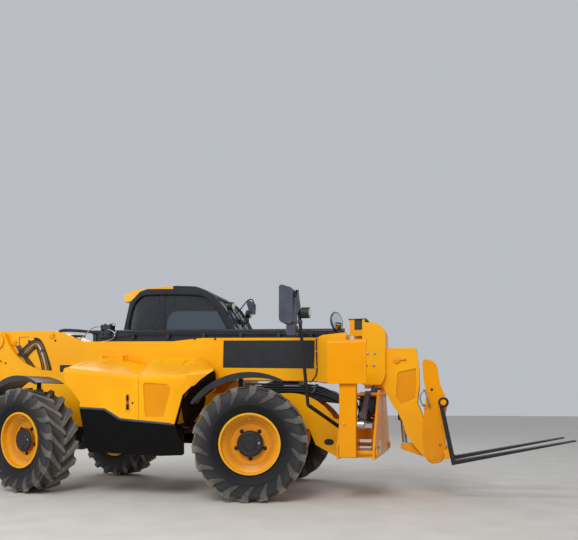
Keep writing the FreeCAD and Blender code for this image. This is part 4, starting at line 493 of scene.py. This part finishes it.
def dress_wheel(end, side):
    centre, steer = wheel_centre(end, side)
    facing = 0.0 if side == "right" else math.pi
    place = (Matrix.Translation(centre) @ Matrix.Rotation(steer + facing, 4, "Z")
             @ Matrix.Rotation(math.pi / 2, 4, "X"))
    tail = "%s_%s" % (end, side)
    body = "wheel_" + tail
    cap = bmesh.new()
    spun(cap, [(HUB_END, 0), (HUB_END, 134), (362, 134), (368, 126), (368, 74), (376, 66), (376, 0)])
    for turn in (25, 145, 268):
        rib = slab(cap, mm(60, -4, 366), mm(116, 4, 377))
        turn_round(cap, rib, turn)
    for i in range(12):
        turn = math.radians(30 * i + 8)
        bolt(cap, mm(118 * math.cos(turn), 118 * math.sin(turn), 368), (0, 0, 1), 9)
    done("hub_cap_" + tail, cap, FORK_BLACK, body, place, bevel=1.5)
    studs = bmesh.new()
    for i in range(5):
        turn = math.radians(72 * i - 90)
        spot = mm(166 * math.cos(turn), 166 * math.sin(turn), DISC_FACE)
        # a dark disc under each nut: painted shade for the recess the nut sits in
        drum(studs, spot, spot + mm(0, 0, 3), 25, 22, 24)
        bolt(studs, spot + mm(0, 0, 2), (0, 0, 1), 16, nut=True)
    done("wheel_nuts_" + tail, studs, DARK_BOLT, body, place, bevel=0.8)
    plug = bmesh.new()
    bolt(plug, mm(100, 8, 368), (0, 0, 1), 12)
    drum(plug, mm(0, 282, 336), mm(0, 286, 384), 5, 4, 12)
    done("fill_plug_" + tail, plug, ZINC, body, place, bevel=0.8)
    guard = bmesh.new()
    sides = ((-24, 262), (24, 262), (15, 296), (-15, 296))
    thicken(guard, [mm(x, y, 330) for x, y in sides], mm(0, 0, 26))
    done("valve_guard_" + tail, guard, YELLOW_SHADE, body, place, bevel=3)
    # the feet by which the tread's lugs run down both sidewalls
    round_the_wheel = 1 if side == "right" else -1
    feet = bmesh.new()
    # which sidewall, how far on its row starts in degrees, how much lower the lugs are there
    for face, first, lower in ((1, 0.0, 0), (-1, 10.0, 9)):
        loops = []
        # radius, start and end round the wheel in degrees, base and crest from the tyre's middle
        for radius, start, stop, base, crest in ((614, 0.8, 8.0, 186, 204), (566, 0.2, 8.4, 194, 218),
                                                 (512, -3.4, 4.0, 202, 220), (462, -7.2, -2.0, 200, 211)):
            corners = []
            for turn, depth in ((start, base), (start + 0.9, crest), (stop - 0.9, crest), (stop, base)):
                turn = math.radians(turn + first) * round_the_wheel
                corners.append(feet.verts.new(mm(radius * math.sin(turn), radius * math.cos(turn),
                                                 TYRE_MIDDLE + face * (depth - lower))))
            loops.append([feet.edges.new((corners[i], corners[(i + 1) % 4])) for i in range(4)])
        for near, far in zip(loops, loops[1:]):
            bmesh.ops.bridge_loops(feet, edges=near + far)
    bmesh.ops.holes_fill(feet, edges=feet.edges[:], sides=4)
    pair = feet.verts[:] + feet.edges[:] + feet.faces[:]
    for k in range(1, LUGS):
        copy = bmesh.ops.duplicate(feet, geom=pair)["geom"]
        turn_round(feet, points_of(copy), 360 / LUGS * k)
    # lug feet rubber: denser dust, and edges partly scuffed, partly a painted highlight
    scuffed_and_highlit = tyre_rubber("scuffed lug rubber", end, side,
                          rub=((0.44, 0.15), (0.55, 0.38), (0.6, 0.55), (0.632, 0.9)))
    done("lug_feet_" + tail, feet, scuffed_and_highlit, body, place, bevel=3)


# Boom

def dress_boom():
    panel = bmesh.new()
    for y0, y1 in ((BOOM_RIGHT - 2.5, BOOM_RIGHT + 1), (BOOM_LEFT - 1, BOOM_LEFT + 2.5)):
        plate(panel, [(-557, 1606), (-557, 1948), (618, 1948), (618, 1606)], y0, y1)
    done("boom_side_panels", panel, PANEL_BLACK, "boom_outer", BOOM_DOWN, bevel=1)
    pins = bmesh.new()
    for x, z in ((-3663, 1923), (-3055, 2004)):
        for y, out in ((-244, -1), (144, 1)):
            drum(pins, at(x, y - out * 4, z), at(x, y + out * 7, z), 30, 26, 32)
            slab(pins, at(x + 26, y, z - 12), at(x + 44, y + out * 5, z + 12))
            bolt(pins, at(x + 36, y + out * 5, z), (0, out, 0), 7)
    done("boom_pin_ends", pins, YELLOW_SHADE, "boom_outer", bevel=1.5)
    screws = bmesh.new()
    # the collar in front stands 14 mm proud of the boom's sides
    for x, z, proud in ((-950, 1967, 0), (-672, 1966, 0), (905, 1905, 14), (905, 1560, 14),
                        (-3000, 1950, 0), (-1700, 1540, 0)):
        for y, out in ((BOOM_RIGHT, -1), (BOOM_LEFT, 1)):
            bolt(screws, at(x, y + out * proud, z), (0, out, 0), 13)
    done("wear_pad_screws", screws, DARK_BOLT, "boom_outer", BOOM_DOWN, bevel=1)
    hoses("panel_cable", [[(640, -238, 1905), (636, -240, 1830), (636, -240, 1720), (643, -240, 1560),
                           (648, -240, 1450), (620, -238, 1375), (560, -225, 1318)]],
          7, "boom_outer")
    clips = bmesh.new()
    for x, z in ((638, 1850), (637, 1690), (643, 1500)):
        slab(clips, at(x - 12, -250, z - 8), at(x + 12, BOOM_RIGHT + 1, z + 8))
    done("cable_clips", clips, ZINC, "boom_outer", bevel=2)
    # hoses that cross from the chassis into the boom, on the right of its rear end
    bundle = []
    for i in range(5):
        bundle.append([(-3596 + i * 30, -240, 1742 - i * 12), (-3486 + i * 25, -241, 1850 - i * 18),
                       (-3374 + i * 15, -241, 1928 - i * 23), (-3272 - i * 4, -241, 1950 - i * 27),
                       (-3196 - i * 20, -241, 1884 - i * 24), (-3140 - i * 26, -241, 1740 - i * 6),
                       (-3096 - i * 28, -240, 1600), (-3076 - i * 30, -240, 1500)])
    hoses("boom_feed_hoses", [bundle[1], bundle[3]], 8, "boom_outer", HOSE_BROWN)
    hoses("boom_feed_pipes", [bundle[0], bundle[4]], 9, "boom_outer")
    hoses("boom_feed_tube", [bundle[2]], 7, "boom_outer", SILVER_HOSE)
    pivot_hoses = [
        [(-3612, -240, 1868), (-3560, -242, 1790), (-3480, -242, 1690), (-3400, -241, 1600),
         (-3330, -240, 1500)],
        [(-3570, -240, 1872), (-3522, -242, 1800), (-3440, -242, 1700), (-3360, -241, 1610),
         (-3290, -240, 1510)]]
    hoses("pivot_hoses", pivot_hoses, 13, "boom_outer")
    crimps = bmesh.new()
    for route in bundle:
        spots = [at(*spot) for spot in route]
        drum(crimps, spots[0], spots[0].lerp(spots[1], 0.3), 11, 10, 12)
        drum(crimps, spots[4].lerp(spots[5], 0.3), spots[4].lerp(spots[5], 0.55), 10.5, 10.5, 12)
    for route in pivot_hoses:
        drum(crimps, at(*route[0]), at(*route[0]).lerp(at(*route[1]), 0.8), 17, 15, 6)
    slab(crimps, at(-3420, -252, 1880), at(-3400, -231, 1944))
    done("hose_crimps", crimps, RAM_GREY, "boom_outer", bevel=1)
    # thin black strips at the hose window's left and top edges: painted shade
    window_shade_strips = bmesh.new()
    slab(window_shade_strips, at(-3580, -232, 1850), at(-3572, -229, 1992))
    slab(window_shade_strips, at(-3580, -232, 1986), at(-3420, -229, 1992))
    done("boom_window_shade_strips", window_shade_strips, SEAL_BLACK, "boom_outer")
    # a black tube along the hose window's curved edge: painted shade
    edge = [(-3330, 1968), (-3262, 1962), (-3200, 1890), (-3140, 1745), (-3085, 1600), (-3060, 1500)]
    hoses("hose_window_painted_shade", [[(x, -234, z) for x, z in edge]], 12, "boom_outer")
    # valve block, its hoses and the loops on the boom's top
    block = bmesh.new()
    for x in (-2312, -2232):
        drum(block, at(x, -110, 2160), at(x, -110, 2190), 16, 14, 16)
        drum(block, at(x, -168, 2100), at(x, -186, 2100), 15, 13, 6)
        drum(block, at(x, -168, 2040), at(x, -184, 2040), 15, 13, 6)
    slab(block, at(-2352, -160, 2076), at(-2193, -60, 2084))
    done("valve_block_fittings", block, DARK_BOLT, "boom_outer", BOOM_DOWN, bevel=1.5)
    hoses("valve_block_hoses", [
        [(-2690, -150, 1935), (-2600, -168, 1985), (-2510, -180, 2055), (-2420, -182, 2110),
         (-2335, -184, 2098)],
        [(-2225, -186, 2058), (-2150, -186, 2040), (-2108, -180, 1985), (-2150, -172, 1930),
         (-2260, -168, 1905), (-2380, -160, 1895)],
        [(-2227, -110, 2130), (-2180, -125, 2160), (-2120, -150, 2110), (-2110, -165, 2010),
         (-2160, -170, 1935)]],
        8, "boom_outer", SILVER_HOSE)
    hoses("boom_top_loops", [
        [(-2330, -140, 2015), (-2560, -140, 2045), (-2820, -140, 2068), (-2985, -140, 2072),
         (-3030, -138, 2040), (-2990, -136, 2006), (-2860, -132, 1995), (-2640, -128, 1985)],
        [(-2330, -90, 2020), (-2560, -90, 2055), (-2840, -90, 2085), (-3010, -90, 2090), (-3062, -90, 2048),
         (-3010, -90, 2012), (-2860, -90, 2000), (-2640, -90, 1990)]],
        17, "boom_outer")
    hoses("boom_harness", [[(-2380, -200, 1992), (-2180, -204, 1992), (-1990, -202, 2012),
                            (-1880, -200, 2036), (-1500, -190, 2036), (-400, -180, 2036), (620, -180, 2030)]],
          8, "boom_outer", place=BOOM_DOWN)
    ties = bmesh.new()
    for x in (-1850, -1350, -850, -350, 150, 560):
        slab(ties, at(x - 20, -192, 1978), at(x + 20, -150, 2050))
    done("harness_clips", ties, BLACK_STEEL, "boom_outer", BOOM_DOWN, bevel=2)
    mirror_place = (BOOM_DOWN @ Matrix.Translation(at(870, -130, 2187))
                    @ Vector((0.9, -0.42, 0.14)).normalized().to_track_quat("Z", "Y").to_matrix().to_4x4())
    rim = bmesh.new()
    spun(rim, [(0, 0), (0, 118), (-10, 121), (-24, 117), (-24, 0)], 40)
    done("round_mirror_rim", rim, MIRROR_BLACK, "boom_outer", mirror_place)
    lens = bmesh.new()
    spun(lens, [(0.3, 108), (12, 90), (22, 60), (27, 25), (28, 0)], 40)
    spun(lens, [(0.3, 108), (0.2, 0)], 40)
    done("round_mirror_glass", lens, MIRROR_GLASS, "boom_outer", mirror_place, sharp=80)


def dress_head():
    # darker sheets on the neck's recess floors: painted shade
    for name, y0, y1 in (("right", -159, -156), ("left", 56, 59)):
        recess_shade = bmesh.new()
        plate(recess_shade, [(1597, 1395), (1607, 1423), (1635, 1435), (1809, 1471), (1817, 1300), (1797, 1123),
                      (1636, 1053), (1584, 1145)], y0, y1)
        done("neck_recess_painted_shade_" + name, recess_shade, SHADED_RECESS_YELLOW, "boom_inner", bevel=1)
    screws = bmesh.new()
    for x, z in ((1254, 1656), (1340, 1654), (1242, 1514), (1328, 1513)):
        bolt(screws, at(x, -225, z), (0, -1, 0), 15)
        bolt(screws, at(x, 125, z), (0, 1, 0), 15)
    done("head_plate_bolts", screws, ZINC, "boom_inner", bevel=1)
    bracket = bmesh.new()
    for y0, y1 in ((-222, -206), (106, 122)):
        plate(bracket, [(1045, 1868), (1036, 2060), (1098, 2062), (1098, 1940), (1188, 1940), (1188, 2062),
                        (1222, 2063), (1222, 1868)], y0, y1)
    done("head_bracket", bracket, YELLOW_SHADE, "boom_inner", bevel=2)
    guide = bmesh.new()
    for y0, y1 in ((-226, -198), (98, 126)):
        slab(guide, at(1103, y0, 1942), at(1183, y1, 2048))
    slab(guide, at(1026, -224, 2062), at(1240, 124, 2074))
    slab(guide, at(1224, -224, 1938), at(1240, -204, 2066))
    slab(guide, at(1224, 104, 1938), at(1240, 124, 2066))
    done("head_hose_guide", guide, BLACK_STEEL, "boom_inner", bevel=3)
    pins = bmesh.new()
    for y, out in ((-190, -1), (90, 1)):
        drum(pins, at(1589, y - out * 22, 1585), at(1589, y + out * 2, 1585), 46, 43, 36)
        drum(pins, at(1589, y, 1585), at(1589, y + out * 9, 1585), 26, 23, 28)
        slab(pins, at(1560, y, 1575), at(1700, y - out * 16, 1597))
        bolt(pins, at(1682, y, 1586), (0, out, 0), 9)
    done("tilt_pin_ends", pins, YELLOW_SHADE, "boom_inner", bevel=2)
    hoses("gooseneck_hoses", [
        [(1430, -95, 1300), (1480, -100, 1230), (1560, -120, 1120), (1640, -120, 1000), (1700, -110, 850)],
        [(1430, -20, 1290), (1490, -10, 1210), (1570, 0, 1090), (1640, 8, 980), (1690, 10, 860)]],
        11, "boom_inner")


# Engine side

def dress_engine_side():
    # darker sheet on the pod's recess floor: painted shade
    recess_shade = bmesh.new()
    plate(recess_shade, [(-1180, 913), (-1203, 1262), (-1193, 1288), (-1166, 1297), (-937, 1282), (-890, 1262),
                  (-874, 1216), (-957, 914)], -1089, -1086)
    done("pod_recess_painted_shade", recess_shade, SHADED_RECESS_YELLOW, bevel=1)
    line = [(-811, 828), (-716, 1159), (-610, 1257), (-377, 1303), (-300, 1310)]
    # a thin black sheet on the arch's underside: painted shade
    arch_shade = bmesh.new()
    plate(arch_shade, line + [(x + 1.5, z - 1.5) for x, z in reversed(line)], -1098, -1040)
    done("wheel_arch_painted_shade", arch_shade, SKIRT_BLACK)
    hoses("pod_raised_arcs", [
        [(-1240, -720, 1520), (-1250, -600, 1573), (-1212, -524, 1602), (-1140, -560, 1587),
         (-1075, -665, 1545)],
        [(-905, -745, 1508), (-940, -600, 1572), (-900, -515, 1602), (-840, -525, 1594), (-770, -620, 1535)]],
        9, "chassis", YELLOW)
    # the skirt's rolled top bead, coloured with a painted highlight
    trim = bmesh.new()
    plate(trim, [(-2038, 1002), (-2040, 1026), (-1712, 1010), (-1690, 1002), (-1515, 904), (-1490, 893),
                 (-812, 838), (-812, 814), (-1496, 868), (-1524, 878), (-1704, 979), (-1724, 986)],
          POD_SIDE - 7, POD_SIDE + 4)
    done("skirt_edge", trim, SKIRT_BEAD_HIGHLIGHT, bevel=4)
    latch = bmesh.new()
    plate(latch, [(-1436, 972), (-1436, 1170), (-1428, 1178), (-1380, 1178), (-1372, 1170), (-1372, 972),
                  (-1380, 962), (-1428, 962)], POD_SIDE - 2, POD_SIDE + 3)
    done("latch_recess", latch, YELLOW_SHADE, "bonnet", bevel=1.5)
    grip = bmesh.new()
    plate(grip, [(-1420, 1096), (-1420, 1150), (-1412, 1160), (-1396, 1160), (-1388, 1150), (-1388, 1096)],
          POD_SIDE - 8, POD_SIDE)
    plate(grip, [(-1422, 990), (-1422, 1056), (-1386, 1056), (-1386, 990)], POD_SIDE - 6, POD_SIDE)
    drum(grip, at(-1342, POD_SIDE - 4, 1070), at(-1342, POD_SIDE + 2, 1070), 12, sides=20)
    done("latch_handle", grip, SEAL_BLACK, "bonnet", bevel=2)
    glow = bmesh.new()
    plate(glow, [(-1419, 1060), (-1419, 1092), (-1389, 1092), (-1389, 1060)], POD_SIDE - 5, POD_SIDE)
    plate(glow, [(-1418, 1150), (-1418, 1168), (-1390, 1168), (-1390, 1150)], POD_SIDE - 7, POD_SIDE)
    done("latch_reflector", glow, LENS_RED, "bonnet", bevel=2)
    oval = bmesh.new()
    back = at(883, -700, 631)
    drum(oval, back, back + mm(0, -16, 0), 44, 40, 32)
    bmesh.ops.scale(oval, verts=oval.verts, vec=(1.3, 1, 0.85), space=Matrix.Translation(-back))
    done("step_lamp", oval, SEAL_BLACK, bevel=2)


# Cab

def cushion(name, low, high, lean=0.0):
    """A foam cushion in sewn cloth: crowned faces, with sides that pull in between the corners."""
    middle = (low + high) / 2
    half = (high - low) / 2
    pad = bmesh.new()
    bmesh.ops.create_cube(pad, size=2.0)
    bmesh.ops.subdivide_edges(pad, edges=pad.edges[:], cuts=9, use_grid_fill=True)
    bmesh.ops.smooth_vert(pad, verts=pad.verts, factor=0.5, use_axis_x=True, use_axis_y=True, use_axis_z=True)
    for vert in pad.verts:
        x, y, z = vert.co
        crown = (1 - x * x) * (1 - y * y)
        pull = 1 - 0.05 * (1 - abs(z)) * (2 - x * x - y * y)
        channel = 0.10 * math.exp(-((abs(y) - 0.52) / 0.06) ** 2) * (1 - x ** 4)
        vert.co = Vector((x * half.x * pull, y * half.y * pull, z * half.z * (0.72 + 0.34 * crown - channel)))
    turn_round(pad, pad.verts, lean, "Y")
    bmesh.ops.translate(pad, verts=pad.verts, vec=middle)
    piece = done(name, pad, SEAT_CLOTH, sharp=80)
    smooth = piece.modifiers.new("cloth", "SUBSURF")
    smooth.levels = smooth.render_levels = 1


def dress_cab():
    side_window = [(-2150, 1560), (-2155, 2110), (-2068, 2450), (-1950, 2560), (-1850, 2580), (-1050, 2545),
                   (-915, 2465), (-815, 2330), (-665, 2060), (-500, 1740), (-490, 1560)]
    hoses("side_window_seal", [[(x, 203, z) for x, z in side_window]],
          11, "chassis", SEAL_BLACK, closed=True)
    cover = bmesh.new()
    plate(cover, [(-1490, 2640), (-1490, 2690.5), (-1450, 2692), (-1160, 2669), (-1090, 2646), (-1015, 2616),
                  (-1000, 2606), (-1150, 2606)], 262, 1123)
    done("roof_front_cover", cover, CAB_BLACK, bevel=8)
    pillar = bmesh.new()
    slab(pillar, at(-1668, 214, 1560), at(-1592, 236, 2590))
    done("right_pillar", pillar, CAB_BLACK, bevel=6)
    cushion("seat_cushion", at(-1785, CAB_MIDDLE - 235, 1330), at(-1280, CAB_MIDDLE + 235, 1430))
    cushion("seat_back", at(-2075, CAB_MIDDLE - 220, 1612), at(-1445, CAB_MIDDLE + 220, 1706), lean=78)
    cushion("headrest", at(-2010, CAB_MIDDLE - 130, 2085), at(-1800, CAB_MIDDLE + 130, 2165), lean=80)
    stalks = bmesh.new()
    for y in (CAB_MIDDLE - 70, CAB_MIDDLE + 70):
        drum(stalks, at(-1880, y, 1960), at(-1905, y, 2080), 8, sides=12)
    done("headrest_stalks", stalks, CHROME)
    stick = bmesh.new()
    drum(stick, at(-1180, 380, 1330), at(-1160, 378, 1560), 12, 10, 16)
    drum(stick, at(-1160, 378, 1545), at(-1152, 377, 1640), 24, 30, 20)
    slab(stick, at(-1560, 330, 1180), at(-1090, 430, 1340))
    done("control_stick", stick, TRIM_GREY, bevel=6)
    wiper = bmesh.new()
    drum(wiper, at(-735, 420, 2392), at(-735, 420, 2412), 26, 22, 20)
    drum(wiper, at(-728, 420, 2405), at(-590, 620, 2140), 9, 7, 10)
    drum(wiper, at(-700, 560, 2330), at(-480, 680, 1905), 7, 7, 8)
    done("front_wiper", wiper, SEAL_BLACK, bevel=1)
    rails = [[(-905, y, 2535), (-800, y, 2480), (-690, y, 2330), (-560, y, 2090), (-470, y, 1910)]
             for y in (330, 1020)]
    hoses("windscreen_rails", rails, 10, "chassis", CAB_BLACK)
    hoses("left_mirror_hoop", [[(-800, 1010, 2420), (-735, 1015, 2500), (-660, 1020, 2590),
                                (-590, 1020, 2600), (-560, 1020, 2530), (-562, 1020, 2450)]],
          9, "chassis", CAB_BLACK)
    shell = bmesh.new()
    plate(shell, [(-655, 2530), (-640, 2562), (-600, 2566), (-560, 2530), (-562, 2400), (-585, 2372),
                  (-612, 2392)], 930, 1110)
    done("left_mirror_shell", shell, MIRROR_BLACK, bevel=14)
    handle = bmesh.new()
    slab(handle, at(-800, 1186, 1660), at(-770, 1208, 1790))
    drum(handle, at(-785, 1186, 1700), at(-785, 1214, 1700), 16, 14, 20)
    done("door_handle", handle, SEAL_BLACK, "door", bevel=5)
    hoses("grab_rail", [[(-560, 1186, 1980), (-540, 1222, 1960), (-505, 1226, 1850), (-495, 1226, 1700),
                         (-498, 1222, 1640), (-505, 1186, 1620)]],
          12, "chassis", CAB_BLACK)
    lenses = bmesh.new()
    for y in (305, 1050):
        drum(lenses, at(-622, y, 2378.4), at(-612, y, 2376.7), 49, 44, 32)
    drum(lenses, at(698, MIRROR_Y, 2060), at(709, MIRROR_Y, 2060), 53, 46, 32)
    done("work_lamp_lenses", lenses, LENS_CLEAR, bevel=3)
    hoses("work_lamp_rims", [[(702, MIRROR_Y + 58 * math.cos(a), 2060 + 58 * math.sin(a))
                              for a in (math.radians(30 * i) for i in range(12))]],
          5, "chassis", SEAL_BLACK, closed=True)
    sleeve = bmesh.new()
    drum(sleeve, at(687, MIRROR_Y, 1046), at(563, MIRROR_Y, 2314), 18.4, sides=20)
    drum(sleeve, at(688, -899, 1046), at(970, -566, 801), 21.4, sides=20)
    done("mirror_post_coat", sleeve, SEAL_BLACK)
    sheets = bmesh.new()
    plate(sheets, [(383, 2010), (391, 2318), (387, 2320), (379, 2012)], -996, -804)
    plate(sheets, [(459, 1838), (459, 1902), (456, 1902), (456, 1838)], -975, -855)
    done("mirror_sheets", sheets, MIRROR_GLASS, bevel=1)


# Front end

def dress_front():
    for side, out, eye_x in (("right", -1, 1088), ("left", 1, 1312)):
        eye = bmesh.new()
        drum(eye, at(eye_x, out * 908, 841), at(eye_x, out * 913, 841), 30, 28, 32)
        bolt(eye, at(eye_x, out * 913, 841), (0, out, 0), 13)
        done("leg_ram_pin_" + side, eye, YELLOW_SHADE, "stabiliser_leg_" + side, bevel=2)
        caps = bmesh.new()
        drum(caps, at(1412, out * 750, 520), at(1432, out * 750, 520), 46, 42, 32)
        slab(caps, at(1412, out * 690, 508), at(1422, out * 720, 532))
        bolt(caps, at(1422, out * 700, 520), (1, 0, 0), 10)
        done("leg_pivot_cap_" + side, caps, YELLOW_SHADE, bevel=2)
        hoses("stabiliser_hoses_" + side, [
            [(1110, out * 150, 1090), (1130, out * 205, 1080), (1140, out * 262, 1020),
             (1120, out * 285, 900)],
            [(1130, out * 150, 1040), (1150, out * 200, 1010), (1160, out * 250, 960),
             (1150, out * 270, 890)]],
            10, "chassis")
    block = bmesh.new()
    slab(block, at(1150, -200, 960), at(1310, -70, 1120))
    for z in (985, 1035, 1085):
        drum(block, at(1225, -200, z), at(1225, -222, z), 17, 15, 6)
    drum(block, at(1222, -140, 905), at(1222, -140, 965), 34, 38, 24)
    done("carrier_valve_block", block, RAM_GREY, bevel=5)
    hoses("carrier_pipes", [
        [(1225, -220, 985), (1230, -262, 975), (1260, -272, 930), (1320, -266, 915), (1360, -240, 905)],
        [(1222, -140, 910), (1228, -150, 880), (1270, -160, 866), (1330, -160, 866), (1384, -150, 866)],
        [(1225, -220, 1085), (1215, -260, 1100), (1160, -280, 1120), (1080, -270, 1130), (1016, -240, 1130)]],
        13, "chassis")
    # a black sheet filling the front frame under the boom: painted shade
    cover = bmesh.new()
    plate(cover, [(-300, 1180), (-300, 1292), (300, 1284), (620, 1268), (820, 1216), (960, 1110),
                  (960, 1060)], -205, 105)
    done("front_frame_shade_sheet", cover, SEAL_BLACK, bevel=8)
    routes = []
    for i in range(4):
        y = -212 - 2 * i
        routes.append([(-280, y, 1312 - i * 30), (60, y, 1306 - i * 29), (440, y, 1294 - i * 26),
                       (600, y, 1290 - i * 28), (760, y, 1240 - i * 26), (900, y, 1160 - i * 20),
                       (985, y, 1090 - i * 16)])
    hoses("front_frame_hoses", routes, 12, "chassis")
    joints = bmesh.new()
    drum(joints, at(648, -232, 1300), at(604, -232, 1205), 20, 17, 20)
    drum(joints, at(604, -232, 1205), at(570, -232, 1196), 14, 14, 16)
    drum(joints, at(420, -228, 1296), at(520, -228, 1300), 17, 17, 16)
    done("front_frame_couplings", joints, RAM_GREY, bevel=2)
    strut = bmesh.new()
    drum(strut, at(1350, -150, 1262), at(1276, -150, 950), 56, 56, 36)
    drum(strut, at(1323, -150, 1150), at(1317, -150, 1124), 64, 64, 36)
    drum(strut, at(1276, -150, 952), at(1262, -150, 925), 40, 30, 28)
    done("carrier_cylinder", strut, RAM_GREY, bevel=5)
    blank = bmesh.new()
    slab(blank, at(1410, -420, 486), at(1414, -260, 640))
    done("blank_plate", blank, PLATE_WHITE, bevel=1)
    frame_bolts = bmesh.new()
    for y in (-640, -540, -440, 440, 540, 640):
        bolt(frame_bolts, at(1410, y, 560), (1, 0, 0), 15)
    done("carrier_bolts", frame_bolts, ZINC, bevel=1)


def dress_carriage():
    pins = bmesh.new()
    for y, out in ((-219, -1), (119, 1)):
        drum(pins, at(2030, y - out * 3, 470), at(2030, y + out * 9, 470), 62, 58, 40)
        bolt(pins, at(2030, y + out * 9, 470), (0, out, 0), 14)
    for y, out in CARRIAGE_SIDES:
        drum(pins, at(2090, y - out * 2, 583), at(2090, y + out * 3, 583), 10, sides=20)
        slab(pins, at(2060, y, 1030), at(2120, y + out * 8, 1052))
    done("carriage_pin_ends", pins, YELLOW_SHADE, "carriage", bevel=2)
    # black discs sunk inside the plate's holes: painted shade
    hole_shade = bmesh.new()
    for x, z in ((1993, 1223), (2090, 583)):
        for y, out in CARRIAGE_SIDES:
            drum(hole_shade, at(x, y - out * 6, z), at(x, y - out * 2, z), 15, sides=20)
    done("carriage_hole_shade", hole_shade, SEAL_BLACK, "carriage")
    stops = bmesh.new()
    for y in (-440, -320, 220, 340):
        drum(stops, at(2125, y, 1075), at(2125, y + 14, 1075), 46, 46, 28)
        bolt(stops, at(2125, y + 7, 1121), (0, 0, 1), 9)
    done("fork_collars", stops, BLACK_STEEL, "carriage", bevel=2)
    hoses("carriage_hoses", [
        [(1910, -244, 1215), (1872, -246, 1190), (1862, -246, 1120), (1878, -246, 1060), (1902, -244, 1042)],
        [(1917, -254, 1218), (1930, -256, 1180), (1952, -256, 1110), (1958, -246, 1052)]],
        9, "carriage", SILVER_HOSE)
    couplings = bmesh.new()
    for spot in (at(1905, -205, 1215), at(1900, -205, 1042), at(1960, -205, 1050)):
        drum(couplings, spot, spot + mm(0, -34, 0), 17, 15, 6)
        drum(couplings, spot + mm(0, -34, 0), spot + mm(12, -52, 0), 13, 13, 16)
    done("carriage_couplings", couplings, ZINC, "carriage", bevel=1)


def dress_rear():
    for tint, finish, low, high in (("red", LENS_RED, 1388, 1440), ("amber", LENS_AMBER, 1446, 1500),
                                    ("clear", LENS_CLEAR, 1506, 1552)):
        lens = bmesh.new()
        for y in (-348, 188):
            slab(lens, at(-4177, y + 5, low), at(-4170, y + 55, high))
        done("tail_lenses_" + tint, lens, finish, bevel=3)
    pin = bmesh.new()
    drum(pin, at(-4285, -50, 1000), at(-4285, -50, 1172), 15, 15, 20)
    drum(pin, at(-4285, -50, 1160), at(-4285, -50, 1176), 28, 24, 24)
    done("tow_pin", pin, ZINC, bevel=2)
    keepers = bmesh.new()
    for y, out in ((-315, -1), (215, 1)):
        drum(keepers, at(PIVOT_X, y - out * 6, PIVOT_Z), at(PIVOT_X, y + out * 8, PIVOT_Z), 52, 48, 40)
        for turn in (45, 165, 285):
            a = math.radians(turn)
            bolt(keepers, at(PIVOT_X + 88 * math.cos(a), y, PIVOT_Z + 88 * math.sin(a)), (0, out, 0), 13)
    done("boom_pivot_pin_ends", keepers, YELLOW_SHADE, bevel=2)


# Floor, light and camera

def studio():
    """A pale floor, an even sky and three soft lamps."""
    mesh = bpy.data.meshes.new("floor")
    floor = stand("floor", mesh)
    shape = bmesh.new()
    bmesh.ops.create_grid(shape, x_segments=1, y_segments=1, size=60.0)
    shape.to_mesh(mesh)
    shape.free()
    pale, tree, shader, place = begin("pale studio floor")
    tone = clouds(tree, place, 400, [(0.3, "C9C5BE"), (0.7, "D3CFC8")], detail=5.0)
    join(tree, shader, {"Base Color": tone, "Roughness": 0.9})
    mesh.materials.append(pale)
    world = bpy.data.worlds.new("soft studio")
    bpy.context.scene.world = world
    world.use_nodes = True
    sky = world.node_tree.nodes["Background"]
    sky.inputs["Color"].default_value = srgb("E6EBF2")
    sky.inputs["Strength"].default_value = 0.62
    # name, where it is, what it faces, size, power
    for name, spot, aim, size, power in (
            ("key", (0.5, -9.5, 8.5), (-0.5, 0.0, 1.0), 5.0, 740.0),
            ("fill", (-8.0, -6.0, 5.0), (0.0, 0.0, 1.0), 6.0, 150.0),
            ("back", (-6.0, 8.0, 7.5), (0.0, 0.0, 1.0), 5.0, 240.0)):
        lamp = bpy.data.lights.new(name, "AREA")
        lamp.size = size
        lamp.energy = power
        held = stand(name, lamp)
        held.location = spot
        held.rotation_euler = (Vector(spot) - Vector(aim)).to_track_quat("Z", "Y").to_euler()


def camera():
    """Level with the sills, a little ahead of the machine on its right, looking back past the wheels."""
    seen = bpy.data.cameras.new("photograph")
    seen.sensor_width = 36.0
    seen.lens = 37.37
    seen.shift_y = 0.2353
    held = stand("photograph", seen)
    held.location = (2.589, -7.326, 1.055)
    held.rotation_euler = (math.radians(90), 0, math.radians(14.8))
    bpy.context.scene.camera = held


for end in ("front", "rear"):
    for side in ("right", "left"):
        dress_wheel(end, side)
dress_boom()
dress_head()
dress_engine_side()
dress_cab()
dress_front()
dress_carriage()
dress_rear()
studio()
camera()
bpy.context.scene.view_settings.view_transform = "Standard"
